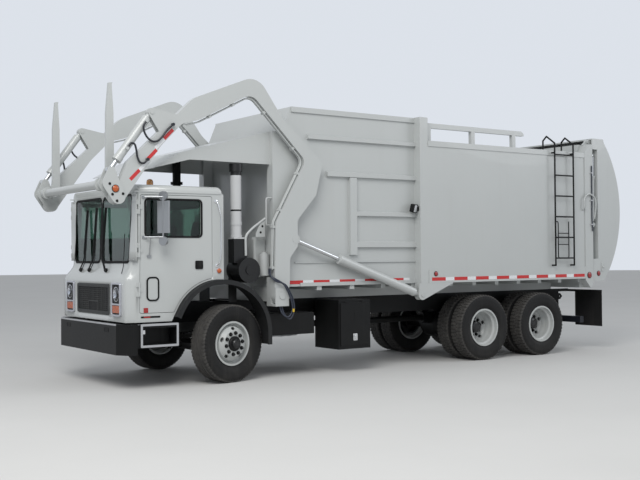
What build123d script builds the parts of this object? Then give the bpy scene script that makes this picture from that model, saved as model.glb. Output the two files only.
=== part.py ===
"""Front-loading garbage truck, millimetres.

Z = 0 is the ground, the front faces -Y and +X is the driver's side. The origin lies on the ground
under the middle of the truck. Places along the truck are given as distances behind the front axle,
and places across it as distances from the middle plane.
"""

import os
from math import atan2, cos, degrees, hypot, pi, radians, sin, tan

from build123d import *

os.makedirs("parts", exist_ok=True)

# Lengths along the truck
CAB_FRONT = -1450.0  # behind the front axle, so negative
HEAD_REACH = 1825.0  # front axle to the foremost edge of the fork heads
COLUMN_SETBACK = 743.0  # front axle to the front columns of the body
HOPPER_LENGTH = 2567.0  # front columns to the middle columns
STORAGE_LENGTH = 3740.0  # middle columns to the rear columns
REAR_COLUMN_DEPTH = 200.0
TAILGATE_GAP = 20.0
TAILGATE_BULGE = 724.0  # front plane of the tailgate to its rearmost point
WHEELBASE = 5330.0  # front axle to the middle of the drive tandem
TANDEM_SPACING = 1320.0

# Heights above the ground
RAIL_TOP_Z = 1060.0
FLOOR_Z = 1260.0  # underside of the body floor
STORAGE_TOP_Z = 3445.0
HOPPER_TOP_Z = 3795.0
CAB_BOTTOM_Z = 860.0
CAB_DECK_Z = 1120.0  # cab floor by the doors
CAB_EAVES_Z = 2520.0
CAB_TOP_Z = 2620.0

# Half widths
RAIL_HALF = 430.0
CAB_HALF = 1115.0
HOPPER_HALF = 1080.0
BODY_HALF = 1220.0
ARM_X = 1180.0  # middle plane of each lift arm and of its cylinders

# Plate and wall thicknesses
RAIL_WALL = 10.0
CAB_WALL = 40.0
BODY_SHEET = 12.0
STORAGE_SHEET = 20.0
PLATE = 20.0
GLASS = 6.0

# Clearances
PIN_GAP = 0.3  # round a pin, and between faces that turn against each other
PANEL_GAP = 6.0  # round a door in its opening
SWING_GAP = 5.0  # beside a piece that sweeps past

# Wheels
TYRE_DIAMETER = 1045.0
FRONT_TYRE_WIDTH = 310.0
REAR_TYRE_WIDTH = 280.0
BEAD_RADIUS = 286.0
RIM_WALL = 12.0
FLANGE_RADIUS = 298.0
FRONT_WHEEL_X = 1030.0
KINGPIN_X = 865.0
DUAL_OUTER_X = 1060.0
DUAL_INNER_X = 735.0
SPINDLE_RADIUS = 45.0
AXLE_TUBE_RADIUS = 68.0
STEER_AT_REST = 11.0  # degrees, turned towards the driver's side
STEERING_ARM = 200.0  # kingpin to the tie rod's ball joint

# Lift arms, their cylinders and the fork head, as (distance behind the front axle, height)
ARM_WIDTH = 100.0
EYE_WIDTH = 66.0
ARM_PIVOT = (780.0, 1140.0)
ARM_PIN_RADIUS = 45.0
LIFT_ROD_PIN = (1022.0, 1921.0)
LIFT_BASE_PIN = (3330.0, 1080.0)
LIFT_BARREL_RADIUS = 70.0
LIFT_ROD_RADIUS = 30.0
LIFT_BARREL_LENGTH = 1640.0  # base pin to the gland's face
FORK_PIVOT = (-1620.0, 2444.0)
FORK_ROD_PIN = (-1710.0, 2771.0)
FORK_CYLINDER_PIN = (-1148.0, 3533.0)
FORK_BARREL_RADIUS = 62.0
FORK_ROD_RADIUS = 28.0
FORK_BARREL_LENGTH = 790.0
CYLINDER_PIN_RADIUS = 28.0
HEAD_RADIUS = 92.0  # fork head plate round the cross shaft
SHAFT_RADIUS = 56.0
SHAFT_Z = 2607.0
FORK_X = 957.0
FORK_THICKNESS = 45.0
FORK_DEPTH = 110.0
FORK_TIP_Z = 3900.0

# Tailgate
TAILGATE_BOTTOM_Z = 1213.0
TAILGATE_TOP_Z = 3710.0
TAILGATE_HINGE_Z = 3655.0
TAILGATE_PIN_RADIUS = 22.0

TYRE_RADIUS = TYRE_DIAMETER / 2
AXLE_Z = TYRE_RADIUS
MID_COLUMN = COLUMN_SETBACK + HOPPER_LENGTH
REAR_COLUMN = MID_COLUMN + STORAGE_LENGTH
REAR_COLUMN_BACK = REAR_COLUMN + REAR_COLUMN_DEPTH
TAILGATE_FRONT = REAR_COLUMN_BACK + TAILGATE_GAP
TAIL_REACH = TAILGATE_FRONT + TAILGATE_BULGE
FRONT_AXLE_Y = (HEAD_REACH - TAIL_REACH) / 2
SHAFT_SETBACK = HEAD_RADIUS - HEAD_REACH
DRIVE_AXLES = (WHEELBASE - TANDEM_SPACING / 2, WHEELBASE + TANDEM_SPACING / 2)
COLUMN_DEPTH = 153.0
COLUMN_WIDTH = 150.0
MID_COLUMN_DEPTH = 160.0
ARM_INNER_X = ARM_X - ARM_WIDTH / 2
ARM_OUTER_X = ARM_X + ARM_WIDTH / 2
RIB_HALF = ARM_INNER_X - SWING_GAP - 1.0


def aft(distance):
    """Y of a place this far behind the front axle."""
    return FRONT_AXLE_Y + distance


def at(x, place):
    """Point at this X and a (distance behind the front axle, height) place."""
    return (x, aft(place[0]), place[1])


def side_plane(x):
    """Plane that faces +X, with local x along +Y from the front axle and local y up."""
    return Plane(origin=(x, FRONT_AXLE_Y, 0), x_dir=(0, 1, 0), z_dir=(1, 0, 0))


def front_plane(distance):
    """Plane that faces the front, this far behind the front axle, with local x along +X and y up."""
    return Plane(origin=(0, aft(distance), 0), x_dir=(1, 0, 0), z_dir=(0, -1, 0))


def top_plane(z):
    """Level plane at this height, with local y counted from the front axle."""
    return Plane(origin=(0, FRONT_AXLE_Y, z), x_dir=(1, 0, 0), z_dir=(0, 0, 1))


def panel(plane, outline, thickness, corner=0.0, mode=Mode.ADD):
    """Flat plate on a plane, from an outline whose corners share one radius."""
    with BuildSketch(plane) as face:
        with BuildLine():
            if corner:
                FilletPolyline(*outline, radius=corner, close=True)
            else:
                Polyline(*outline, close=True)
        make_face()
    extrude(face.sketch, amount=thickness, mode=mode)


def block(x, y, z, mode=Mode.ADD):
    """Straight block between pairs of X, of distances behind the front axle, and of heights."""
    with BuildSketch(top_plane(z[0])) as foot:
        with Locations(((x[0] + x[1]) / 2, (y[0] + y[1]) / 2)):
            Rectangle(x[1] - x[0], y[1] - y[0])
    extrude(foot.sketch, amount=z[1] - z[0], mode=mode)


def bar(start, end, radius, mode=Mode.ADD):
    """Round bar between two points."""
    run = Vector(*end) - Vector(*start)
    with BuildSketch(Plane(origin=start, z_dir=run)) as section:
        Circle(radius)
    extrude(section.sketch, amount=run.length, mode=mode)


def cross_bar(x, place, radius, mode=Mode.ADD):
    """Round bar along X between a pair of X, at a (distance behind the front axle, height) place."""
    bar(at(x[0], place), at(x[1], place), radius, mode)


def pipe(points, radius):
    """Bent round bar through a list of points, with a ball at each bend."""
    for start, end in zip(points, points[1:]):
        bar(start, end, radius)
    for bend in points[1:-1]:
        with Locations(bend):
            Sphere(radius)


def save(name, *builders):
    """Label a finished piece and write its STEP file; several builders stay solids of their own."""
    piece = builders[0].part
    if len(builders) > 1:
        piece = Compound([solid for builder in builders for solid in builder.part.solids()])
    piece.label = name
    export_step(piece, f"parts/{name}.step")


def between(start, end, along):
    """Place at a distance from the first of two (distance, height) places towards the second."""
    share = along / hypot(end[0] - start[0], end[1] - start[1])
    return (start[0] + (end[0] - start[0]) * share, start[1] + (end[1] - start[1]) * share)


# Chassis frame: two channel rails, cross members and a tow lug behind each rail
RAIL_HEIGHT = 270.0
RAIL_FLANGE = 85.0
FRAME_FRONT = -1320.0
FRAME_BACK = REAR_COLUMN_BACK
RAIL_MID_Z = RAIL_TOP_Z - RAIL_HEIGHT / 2
CROSS_MEMBER_DEPTH = 90.0
CROSS_MEMBERS = (
    FRAME_FRONT + 45,
    1100.0,
    2600.0,
    WHEELBASE - 1100,
    WHEELBASE,
    WHEELBASE + 1100,
    FRAME_BACK - 45,
)
CAB_PADS = (-1240.0, -800.0, -200.0)
TOW_LUG_REACH = 110.0
TOW_BORE_RADIUS = 22.0
TOW_LUG_THICKNESS = 30.0

with BuildPart() as chassis_rails:
    with BuildSketch(front_plane(FRAME_BACK)):
        with Locations((RAIL_HALF - RAIL_FLANGE / 2, RAIL_MID_Z)):
            Rectangle(RAIL_FLANGE, RAIL_HEIGHT)
        with Locations((RAIL_HALF - RAIL_WALL - RAIL_FLANGE / 2, RAIL_MID_Z)):
            Rectangle(RAIL_FLANGE, RAIL_HEIGHT - 2 * RAIL_WALL, mode=Mode.SUBTRACT)
        mirror(about=Plane.YZ)
    extrude(amount=FRAME_BACK - FRAME_FRONT)
    for side in (-1, 1):
        lug = [
            (FRAME_BACK, RAIL_MID_Z - 55),
            (FRAME_BACK + TOW_LUG_REACH - 55, RAIL_MID_Z - 55),
            (FRAME_BACK + TOW_LUG_REACH, RAIL_MID_Z),
            (FRAME_BACK + TOW_LUG_REACH - 55, RAIL_MID_Z + 55),
            (FRAME_BACK, RAIL_MID_Z + 55),
        ]
        lug_x = side * (RAIL_HALF - RAIL_WALL - TOW_LUG_THICKNESS / 2)
        panel(side_plane(lug_x - TOW_LUG_THICKNESS / 2), lug, TOW_LUG_THICKNESS)
        bore = (FRAME_BACK + TOW_LUG_REACH - 50, RAIL_MID_Z)
        bore_x = (lug_x - TOW_LUG_THICKNESS, lug_x + TOW_LUG_THICKNESS)
        cross_bar(bore_x, bore, TOW_BORE_RADIUS, Mode.SUBTRACT)

with BuildPart() as chassis_members:
    web = RAIL_HALF - RAIL_WALL
    for middle in CROSS_MEMBERS:
        reach = (middle - CROSS_MEMBER_DEPTH / 2, middle + CROSS_MEMBER_DEPTH / 2)
        block((-web, web), reach, (RAIL_MID_Z - 90, RAIL_MID_Z + 90))
        hollow = (reach[0] - RAIL_WALL, reach[1] - RAIL_WALL)
        height = (RAIL_MID_Z - 90 + RAIL_WALL, RAIL_MID_Z + 90 - RAIL_WALL)
        block((-web, web), hollow, height, Mode.SUBTRACT)
    for side in (-1, 1):
        pad_x = sorted((side * (RAIL_HALF - 50), side * RAIL_HALF))
        for middle in CAB_PADS:
            block(pad_x, (middle - 40, middle + 40), (RAIL_TOP_Z, CAB_DECK_Z - CAB_WALL))
save("chassis_frame", chassis_rails, chassis_members)


# Front axle: dropped beam between kingpin eyes, with a leaf spring under each rail
BEAM_DEPTH = 90.0
EYE_RADIUS = 55.0
EYE_HALF = 90.0
KINGPIN_RADIUS = 24.0
KINGPIN_HALF = 125.0
SPRING_REACH = 720.0
SPRING_WIDTH = 80.0
SPRING_X = RAIL_HALF
SPRING_SEAT_Z = AXLE_Z - 42
SPRING_HANGER_Z = RAIL_TOP_Z - RAIL_HEIGHT
SPRING_DEPTH = 80.0

with BuildPart() as front_axle:
    with BuildSketch(front_plane(BEAM_DEPTH / 2)):
        with BuildLine():
            FilletPolyline(
                (-KINGPIN_X, AXLE_Z + 60),
                (-KINGPIN_X, AXLE_Z - 60),
                (-KINGPIN_X + 110, AXLE_Z - 60),
                (-KINGPIN_X + 260, SPRING_SEAT_Z - 110),
                (KINGPIN_X - 260, SPRING_SEAT_Z - 110),
                (KINGPIN_X - 110, AXLE_Z - 60),
                (KINGPIN_X, AXLE_Z - 60),
                (KINGPIN_X, AXLE_Z + 60),
                (KINGPIN_X - 150, AXLE_Z + 60),
                (KINGPIN_X - 310, SPRING_SEAT_Z),
                (-KINGPIN_X + 310, SPRING_SEAT_Z),
                (-KINGPIN_X + 150, AXLE_Z + 60),
                radius=8,
                close=True,
            )
        make_face()
    extrude(amount=BEAM_DEPTH)
    web_recess = (BEAM_DEPTH - 24) / 2
    for face in (-BEAM_DEPTH / 2, BEAM_DEPTH / 2 - web_recess):
        block(
            (-KINGPIN_X + 340, KINGPIN_X - 340),
            (face, face + web_recess),
            (SPRING_SEAT_Z - 88, SPRING_SEAT_Z - 22),
            Mode.SUBTRACT,
        )
    for side in (-1, 1):
        x = side * KINGPIN_X
        bar((x, aft(0), AXLE_Z - EYE_HALF), (x, aft(0), AXLE_Z + EYE_HALF), EYE_RADIUS)
        bar((x, aft(0), AXLE_Z - KINGPIN_HALF), (x, aft(0), AXLE_Z + KINGPIN_HALF), KINGPIN_RADIUS)
        spring = [
            (-SPRING_REACH, SPRING_HANGER_Z - 60),
            (-SPRING_REACH * 0.5, SPRING_SEAT_Z + 40),
            (-140, SPRING_SEAT_Z),
            (140, SPRING_SEAT_Z),
            (SPRING_REACH * 0.5, SPRING_SEAT_Z + 40),
            (SPRING_REACH, SPRING_HANGER_Z - 60),
            (SPRING_REACH, SPRING_HANGER_Z - 30),
            (SPRING_REACH * 0.5, SPRING_SEAT_Z + 90),
            (140, SPRING_SEAT_Z + SPRING_DEPTH),
            (-140, SPRING_SEAT_Z + SPRING_DEPTH),
            (-SPRING_REACH * 0.5, SPRING_SEAT_Z + 90),
            (-SPRING_REACH, SPRING_HANGER_Z - 30),
        ]
        spring_side = side * SPRING_X - SPRING_WIDTH / 2
        panel(side_plane(spring_side), spring, SPRING_WIDTH)
        for hanger in (-SPRING_REACH, SPRING_REACH):
            ear = [
                (hanger - 45, SPRING_HANGER_Z),
                (hanger - 30, SPRING_HANGER_Z - 80),
                (hanger + 30, SPRING_HANGER_Z - 80),
                (hanger + 45, SPRING_HANGER_Z),
            ]
            panel(side_plane(spring_side - 8), ear, SPRING_WIDTH + 16)
        for bolt in (-110, 110):
            for edge in (spring_side + 5, spring_side + SPRING_WIDTH - 5):
                bar((edge, aft(bolt), SPRING_SEAT_Z - 130), (edge, aft(bolt), SPRING_SEAT_Z + 95), 10)
            block(
                (spring_side - 8, spring_side + SPRING_WIDTH + 8),
                (bolt - 22, bolt + 22),
                (SPRING_SEAT_Z - 20, SPRING_SEAT_Z),
            )
save("front_axle", front_axle)


# Steering knuckles, each a yoke round its kingpin with a spindle outboard and a steering arm behind
KNUCKLE_EAR = 28.0
KNUCKLE_POST_X = 945.0
BACKING_PLATE_X = 965.0
BACKING_PLATE_RADIUS = 200.0
SPINDLE_END_X = FRONT_WHEEL_X + 90
STEERING_ARM_Z = AXLE_Z - EYE_HALF - 2 - KNUCKLE_EAR / 2
BALL_RADIUS = 22.0

for name, side in (("left_knuckle", 1), ("right_knuckle", -1)):
    with BuildPart() as knuckle:
        for ear_z in (AXLE_Z + EYE_HALF + 2, AXLE_Z - EYE_HALF - 2 - KNUCKLE_EAR):
            with BuildSketch(top_plane(ear_z)) as ear:
                with Locations((side * KINGPIN_X, 0)):
                    Circle(EYE_RADIUS)
                with Locations((side * KNUCKLE_POST_X, 0)):
                    Rectangle(40, 110)
                make_hull()
            extrude(ear.sketch, amount=KNUCKLE_EAR)
        post_reach = EYE_HALF + 2 + KNUCKLE_EAR
        post = sorted((side * (KNUCKLE_POST_X - 2), side * BACKING_PLATE_X))
        block(post, (-55, 55), (AXLE_Z - post_reach, AXLE_Z + post_reach))
        wheel_axis = (0.0, AXLE_Z)
        cross_bar((side * BACKING_PLATE_X, side * (BACKING_PLATE_X + 12)), wheel_axis, BACKING_PLATE_RADIUS)
        cross_bar((side * BACKING_PLATE_X, side * SPINDLE_END_X), wheel_axis, SPINDLE_RADIUS)
        kingpin_foot = (side * KINGPIN_X, aft(0), AXLE_Z - post_reach - 10)
        kingpin_head = (side * KINGPIN_X, aft(0), AXLE_Z + post_reach + 10)
        with BuildSketch(top_plane(STEERING_ARM_Z - 12)) as arm:
            with Locations((side * KINGPIN_X, 0)):
                Circle(40)
            with Locations((side * KINGPIN_X, STEERING_ARM)):
                Circle(BALL_RADIUS + 8)
            make_hull()
        extrude(arm.sketch, amount=24)
        bar(kingpin_foot, kingpin_head, KINGPIN_RADIUS + PIN_GAP, Mode.SUBTRACT)
    kingpin = Axis((side * KINGPIN_X, aft(0), 0), (0, 0, 1))
    knuckle.part = knuckle.part.rotate(kingpin, STEER_AT_REST)
    save(name, knuckle)

# Tie rod between the ball joints under the steering arms
TIE_ROD_Z = STEERING_ARM_Z - 12 - BALL_RADIUS - PIN_GAP
TIE_ROD_RADIUS = 18.0
ball_shift = STEERING_ARM * sin(radians(STEER_AT_REST))
ball_setback = STEERING_ARM * cos(radians(STEER_AT_REST))

with BuildPart() as tie_rod:
    balls = [(side * KINGPIN_X - ball_shift, aft(ball_setback), TIE_ROD_Z) for side in (-1, 1)]
    bar(balls[0], balls[1], TIE_ROD_RADIUS)
    for ball in balls:
        with Locations(ball):
            Cylinder(BALL_RADIUS + 6, 2 * BALL_RADIUS)
save("tie_rod", tie_rod)


# Wheels: tyres with flat treads, and steel rims whose discs bolt to a hub
def wheel_plane(x, distance, side):
    """Plane through a wheel's axis, with local x outboard from the tyre's middle and local y up."""
    return Plane(origin=(x, aft(distance), AXLE_Z), x_dir=(side, 0, 0), z_dir=(0, -side, 0))


def revolve_round_axle(plane, outline):
    """Ring about the wheel's axis, from an outline of (outboard, radius) points."""
    with BuildSketch(plane) as section:
        with BuildLine():
            Polyline(*outline, close=True)
        make_face()
    revolve(section.sketch, axis=Axis(plane.origin, plane.x_dir))


def tyre_ring(plane, width):
    """Tyre with bulged side walls, seated between the rim's flanges."""
    bead = BEAD_RADIUS + PIN_GAP
    bead_top = FLANGE_RADIUS + 5
    half_bead = RIM_HALF - RIM_WALL - PIN_GAP
    shoulder = width / 2 - 17
    tread = shoulder - 14
    with BuildSketch(plane) as section:
        with BuildLine():
            Line((-half_bead, bead), (half_bead, bead))
            Line((half_bead, bead), (half_bead, bead_top))
            ThreePointArc((half_bead, bead_top), (width / 2, 395), (shoulder, TYRE_RADIUS - 22))
            Line((shoulder, TYRE_RADIUS - 22), (tread, TYRE_RADIUS))
            Line((tread, TYRE_RADIUS), (-tread, TYRE_RADIUS))
            Line((-tread, TYRE_RADIUS), (-shoulder, TYRE_RADIUS - 22))
            ThreePointArc((-shoulder, TYRE_RADIUS - 22), (-width / 2, 395), (-half_bead, bead_top))
            Line((-half_bead, bead_top), (-half_bead, bead))
        make_face()
    revolve(section.sketch, axis=Axis(plane.origin, plane.x_dir))


RIM_HALF = 120.0
DROP_RADIUS = 258.0
RIM_BARREL = [
    (-RIM_HALF, FLANGE_RADIUS),
    (-RIM_HALF + RIM_WALL, FLANGE_RADIUS),
    (-RIM_HALF + RIM_WALL, BEAD_RADIUS),
    (-62, BEAD_RADIUS - 3),
    (-42, DROP_RADIUS),
    (42, DROP_RADIUS),
    (62, BEAD_RADIUS - 3),
    (RIM_HALF - RIM_WALL, BEAD_RADIUS),
    (RIM_HALF - RIM_WALL, FLANGE_RADIUS),
    (RIM_HALF, FLANGE_RADIUS),
    (RIM_HALF, BEAD_RADIUS - RIM_WALL),
    (66, BEAD_RADIUS - 3 - RIM_WALL),
    (46, DROP_RADIUS - RIM_WALL),
    (-46, DROP_RADIUS - RIM_WALL),
    (-66, BEAD_RADIUS - 3 - RIM_WALL),
    (-RIM_HALF, BEAD_RADIUS - RIM_WALL),
]
HAND_HOLE_CIRCLE = 200.0
HAND_HOLES = 5
DISC_FACE = 150.0  # tyre's middle to the mounting face of the disc
HUB_RADIUS = 95.0
DRUM_RADIUS = 205.0


def disc_outline(face):
    """Disc from the drop centre to the mounting face, which stands this far out of the tyre's middle."""
    lean = 1 if face > 0 else -1
    return [
        (lean * 40, DROP_RADIUS - RIM_WALL + 4),
        (lean * 20, DROP_RADIUS - RIM_WALL + 4),
        (face - lean * 62, 215),
        (face - lean * 14, 168),
        (face - lean * 14, 60),
        (face, 60),
        (face, 174),
        (face - lean * 46, 226),
    ]


def hand_holes(plane, face):
    """Oval holes round the sloped part of a disc."""
    lean = 1 if face > 0 else -1
    disc_plane = Plane(plane.origin, x_dir=(0, 0, 1), z_dir=plane.x_dir)
    with BuildSketch(disc_plane.offset(face - lean * 90)) as holes:
        with PolarLocations(HAND_HOLE_CIRCLE, HAND_HOLES):
            Ellipse(20, 34)
    extrude(holes.sketch, amount=lean * 120, mode=Mode.SUBTRACT)


FRONT_WHEELS = (("left_front", 1), ("right_front", -1))
for name, side in FRONT_WHEELS:
    plane = wheel_plane(side * FRONT_WHEEL_X, 0, side)
    kingpin = Axis((side * KINGPIN_X, aft(0), 0), (0, 0, 1))
    with BuildPart() as tyre:
        tyre_ring(plane, FRONT_TYRE_WIDTH)
    tyre.part = tyre.part.rotate(kingpin, STEER_AT_REST)
    save(f"{name}_tyre", tyre)

    drum_back = BACKING_PLATE_X + 18 - FRONT_WHEEL_X
    with BuildPart() as rim:
        revolve_round_axle(plane, RIM_BARREL)
        revolve_round_axle(plane, disc_outline(DISC_FACE))
        hand_holes(plane, DISC_FACE)
        bore = SPINDLE_RADIUS + PIN_GAP
        hub = [
            (drum_back, DRUM_RADIUS),
            (drum_back, DRUM_RADIUS - 25),
            (drum_back + 80, DRUM_RADIUS - 25),
            (drum_back + 80, HUB_RADIUS),
            (drum_back + 10, HUB_RADIUS - 15),
            (drum_back + 10, bore),
            (SPINDLE_END_X - FRONT_WHEEL_X + 2, bore),
            (SPINDLE_END_X - FRONT_WHEEL_X + 2, 0),
            (DISC_FACE + 62, 0),
            (DISC_FACE + 62, 48),
            (DISC_FACE + 48, 62),
            (DISC_FACE + 2, 70),
            (DISC_FACE + 2, HUB_RADIUS - 10),
            (DISC_FACE - 12, HUB_RADIUS - 10),
            (DISC_FACE - 30, 165),
            (drum_back + 100, 165),
            (drum_back + 100, DRUM_RADIUS),
        ]
        revolve_round_axle(plane, hub)
    rim.part = rim.part.rotate(kingpin, STEER_AT_REST)
    save(f"{name}_rim", rim)

REAR_WHEELS = (
    ("left_second", 1, DRIVE_AXLES[0]),
    ("right_second", -1, DRIVE_AXLES[0]),
    ("left_rear", 1, DRIVE_AXLES[1]),
    ("right_rear", -1, DRIVE_AXLES[1]),
)
HUB_FACE_X = (DUAL_OUTER_X + DUAL_INNER_X) / 2
for name, side, distance in REAR_WHEELS:
    outer = wheel_plane(side * DUAL_OUTER_X, distance, side)
    inner = wheel_plane(side * DUAL_INNER_X, distance, side)
    middle = wheel_plane(side * HUB_FACE_X, distance, side)
    with BuildPart() as tyres:
        tyre_ring(outer, REAR_TYRE_WIDTH)
        tyre_ring(inner, REAR_TYRE_WIDTH)
    save(f"{name}_tyres", tyres)

    reach = DUAL_OUTER_X - HUB_FACE_X
    with BuildPart() as rims:
        for plane, face in ((outer, -reach), (inner, reach)):
            revolve_round_axle(plane, RIM_BARREL)
            revolve_round_axle(plane, disc_outline(face))
        hand_holes(outer, -reach)
        hand_holes(inner, reach)
        bore = AXLE_TUBE_RADIUS + PIN_GAP
        hub = [
            (-230, DRUM_RADIUS),
            (-230, DRUM_RADIUS - 25),
            (-120, DRUM_RADIUS - 25),
            (-120, HUB_RADIUS),
            (-220, HUB_RADIUS),
            (-220, bore),
            (-10, bore),
            (-10, 0),
            (118, 0),
            (118, 60),
            (105, 88),
            (14, HUB_RADIUS + 10),
            (14, 165),
            (-14, 165),
            (-100, 165),
            (-100, DRUM_RADIUS),
        ]
        revolve_round_axle(middle, hub)
    save(f"{name}_rims", rims)


# Drive axles: banjo housings on camelback springs that rock on a trunnion, with the drive shafts
BANJO_RADIUS = 200.0
CAMEL_X = RAIL_HALF + 55
CAMEL_WIDTH = 90.0
TRUNNION_Z = AXLE_Z + 60
SHAFT_END = 1020.0
PROP_SHAFT_RADIUS = 50.0
PROP_SHAFT_Z = AXLE_Z + 120

with BuildPart() as drive_axles:
    for distance in DRIVE_AXLES:
        place = (distance, AXLE_Z)
        cross_bar((-(HUB_FACE_X - 14), HUB_FACE_X - 14), place, AXLE_TUBE_RADIUS)
        bowl = Plane(origin=at(0, place), x_dir=(1, 0, 0), z_dir=(0, -1, 0))
        with BuildSketch(bowl) as half_bowl:
            with BuildLine():
                Polyline(
                    (-330, 0),
                    (330, 0),
                    (330, 80),
                    (160, BANJO_RADIUS),
                    (-160, BANJO_RADIUS),
                    (-330, 80),
                    close=True,
                )
            make_face()
        revolve(half_bowl.sketch, axis=Axis(bowl.origin, bowl.x_dir))
        bar(at(0, (distance - 330, PROP_SHAFT_Z)), at(0, (distance, PROP_SHAFT_Z)), 95)
    bar(at(0, (SHAFT_END, PROP_SHAFT_Z)), at(0, (DRIVE_AXLES[1], PROP_SHAFT_Z)), PROP_SHAFT_RADIUS)
    for side in (-1, 1):
        low = side * CAMEL_X - CAMEL_WIDTH / 2
        camelback = [
            (DRIVE_AXLES[0] - 90, AXLE_Z + 60),
            (DRIVE_AXLES[0] + 140, AXLE_Z + 75),
            (WHEELBASE - 150, TRUNNION_Z + 100),
            (WHEELBASE + 150, TRUNNION_Z + 100),
            (DRIVE_AXLES[1] - 140, AXLE_Z + 75),
            (DRIVE_AXLES[1] + 90, AXLE_Z + 60),
            (DRIVE_AXLES[1] + 90, AXLE_Z + 95),
            (DRIVE_AXLES[1] - 140, AXLE_Z + 130),
            (WHEELBASE + 150, TRUNNION_Z + 210),
            (WHEELBASE - 150, TRUNNION_Z + 210),
            (DRIVE_AXLES[0] + 140, AXLE_Z + 130),
            (DRIVE_AXLES[0] - 90, AXLE_Z + 95),
        ]
        panel(side_plane(low), camelback, CAMEL_WIDTH)
        saddle = [
            (WHEELBASE - 120, TRUNNION_Z + 110),
            (WHEELBASE - 70, TRUNNION_Z - 70),
            (WHEELBASE + 70, TRUNNION_Z - 70),
            (WHEELBASE + 120, TRUNNION_Z + 110),
        ]
        panel(side_plane(low - 6), saddle, CAMEL_WIDTH + 12)
        bracket = [
            (WHEELBASE - 260, RAIL_TOP_Z - 20),
            (WHEELBASE - 90, TRUNNION_Z - 80),
            (WHEELBASE + 90, TRUNNION_Z - 80),
            (WHEELBASE + 260, RAIL_TOP_Z - 20),
        ]
        panel(side_plane(side * RAIL_HALF - (10 if side < 0 else 0)), bracket, 10)
    cross_bar((-CAMEL_X - 20, CAMEL_X + 20), (WHEELBASE, TRUNNION_Z), 50)
save("drive_axles", drive_axles)


# Engine and gearbox, as plain blocks, with the hydraulic pump on the front of the crankshaft
ENGINE_HALF = 350.0
ENGINE_TOP_Z = 1500.0
ENGINE_FRONT = -950.0
ENGINE_BACK = 150.0

with BuildPart() as engine:
    block((-ENGINE_HALF + 20, ENGINE_HALF - 20), (ENGINE_FRONT, ENGINE_BACK), (900, ENGINE_TOP_Z))
    block((-230, 230), (ENGINE_FRONT, ENGINE_BACK), (640, 900))
    block((-200, 200), (ENGINE_BACK, SHAFT_END - 60), (600, 1030))
    bar(at(0, (SHAFT_END - 60, PROP_SHAFT_Z)), at(0, (SHAFT_END, PROP_SHAFT_Z)), 70)
    bar(at(0, (FRAME_FRONT + 100, 780)), at(0, (ENGINE_FRONT, 780)), 30)
    block((-90, 90), (FRAME_FRONT + 100, FRAME_FRONT + 260), (700, 900))
    for mount_x in (-RAIL_HALF + RAIL_WALL, ENGINE_HALF - 20):
        block((mount_x, mount_x + RAIL_HALF - RAIL_WALL - ENGINE_HALF + 20), (-500, -380), (910, 960))
save("engine", engine)


# Front bumper with bevelled ends, and a step box let into the side behind each end
BUMPER_FRONT = -1540.0
BUMPER_BACK = -1330.0
BUMPER_HALF = 1160.0
BUMPER_Z = (450.0, 840.0)
STEP_BACK = -744.0
STEP_Z = (535.0, 830.0)
STEP_DEPTH = 190.0

with BuildPart() as front_bumper:
    outline = [
        (-BUMPER_HALF, BUMPER_BACK),
        (-BUMPER_HALF, BUMPER_FRONT + 110),
        (-BUMPER_HALF + 190, BUMPER_FRONT),
        (BUMPER_HALF - 190, BUMPER_FRONT),
        (BUMPER_HALF, BUMPER_FRONT + 110),
        (BUMPER_HALF, BUMPER_BACK),
    ]
    panel(top_plane(BUMPER_Z[0]), outline, BUMPER_Z[1] - BUMPER_Z[0])
    hollow = [
        (-BUMPER_HALF + 12, BUMPER_BACK),
        (-BUMPER_HALF + 12, BUMPER_FRONT + 116),
        (-BUMPER_HALF + 194, BUMPER_FRONT + 12),
        (BUMPER_HALF - 194, BUMPER_FRONT + 12),
        (BUMPER_HALF - 12, BUMPER_FRONT + 116),
        (BUMPER_HALF - 12, BUMPER_BACK),
    ]
    panel(top_plane(BUMPER_Z[0] + 12), hollow, BUMPER_Z[1] - BUMPER_Z[0] - 24, mode=Mode.SUBTRACT)
    for side in (-1, 1):
        arm_x = sorted((side * (RAIL_HALF - RAIL_FLANGE), side * RAIL_HALF))
        block(arm_x, (BUMPER_FRONT + 12, FRAME_FRONT), (RAIL_MID_Z - 130, BUMPER_Z[1]))
        block(arm_x, (CAB_FRONT + CAB_WALL + 10, FRAME_FRONT), (BUMPER_Z[1] - 1, RAIL_TOP_Z - 60))
        box_x = sorted((side * (BUMPER_HALF - 15 - STEP_DEPTH - 20), side * (BUMPER_HALF - 15)))
        block(box_x, (BUMPER_BACK, STEP_BACK), STEP_Z)
        well_x = sorted((side * (BUMPER_HALF - 15 - STEP_DEPTH), side * (BUMPER_HALF - 15)))
        block(well_x, (BUMPER_BACK + 45, STEP_BACK - 45), (STEP_Z[0] + 40, STEP_Z[1] - 45), Mode.SUBTRACT)
        hanger_x = sorted((side * RAIL_HALF, side * (BUMPER_HALF - 15 - STEP_DEPTH)))
        block(hanger_x, (-1060, -1000), (RAIL_MID_Z - 125, RAIL_MID_Z - 105))
save("front_bumper", front_bumper)


# Front fenders: rubber-lipped arches over the steered wheels
FENDER_X = (860.0, 1200.0)
FENDER_SHEET = 22.0
FENDER_LIP = 62.0
FENDER_END = (-794.0, 918.0)  # foot of the fender's front edge
FENDER_BACK_Z = 482.0
ARCH_FOOT = -1280.0  # where the arch's front line would meet the ground
ARCH_FRONT = -550.0  # where that line meets the arch's top
ARCH_BACK = 645.0
ARCH_TOP_Z = 1380.0
ARCH_FRONT_BEND = 690.0
ARCH_BACK_BEND = 730.0


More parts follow.
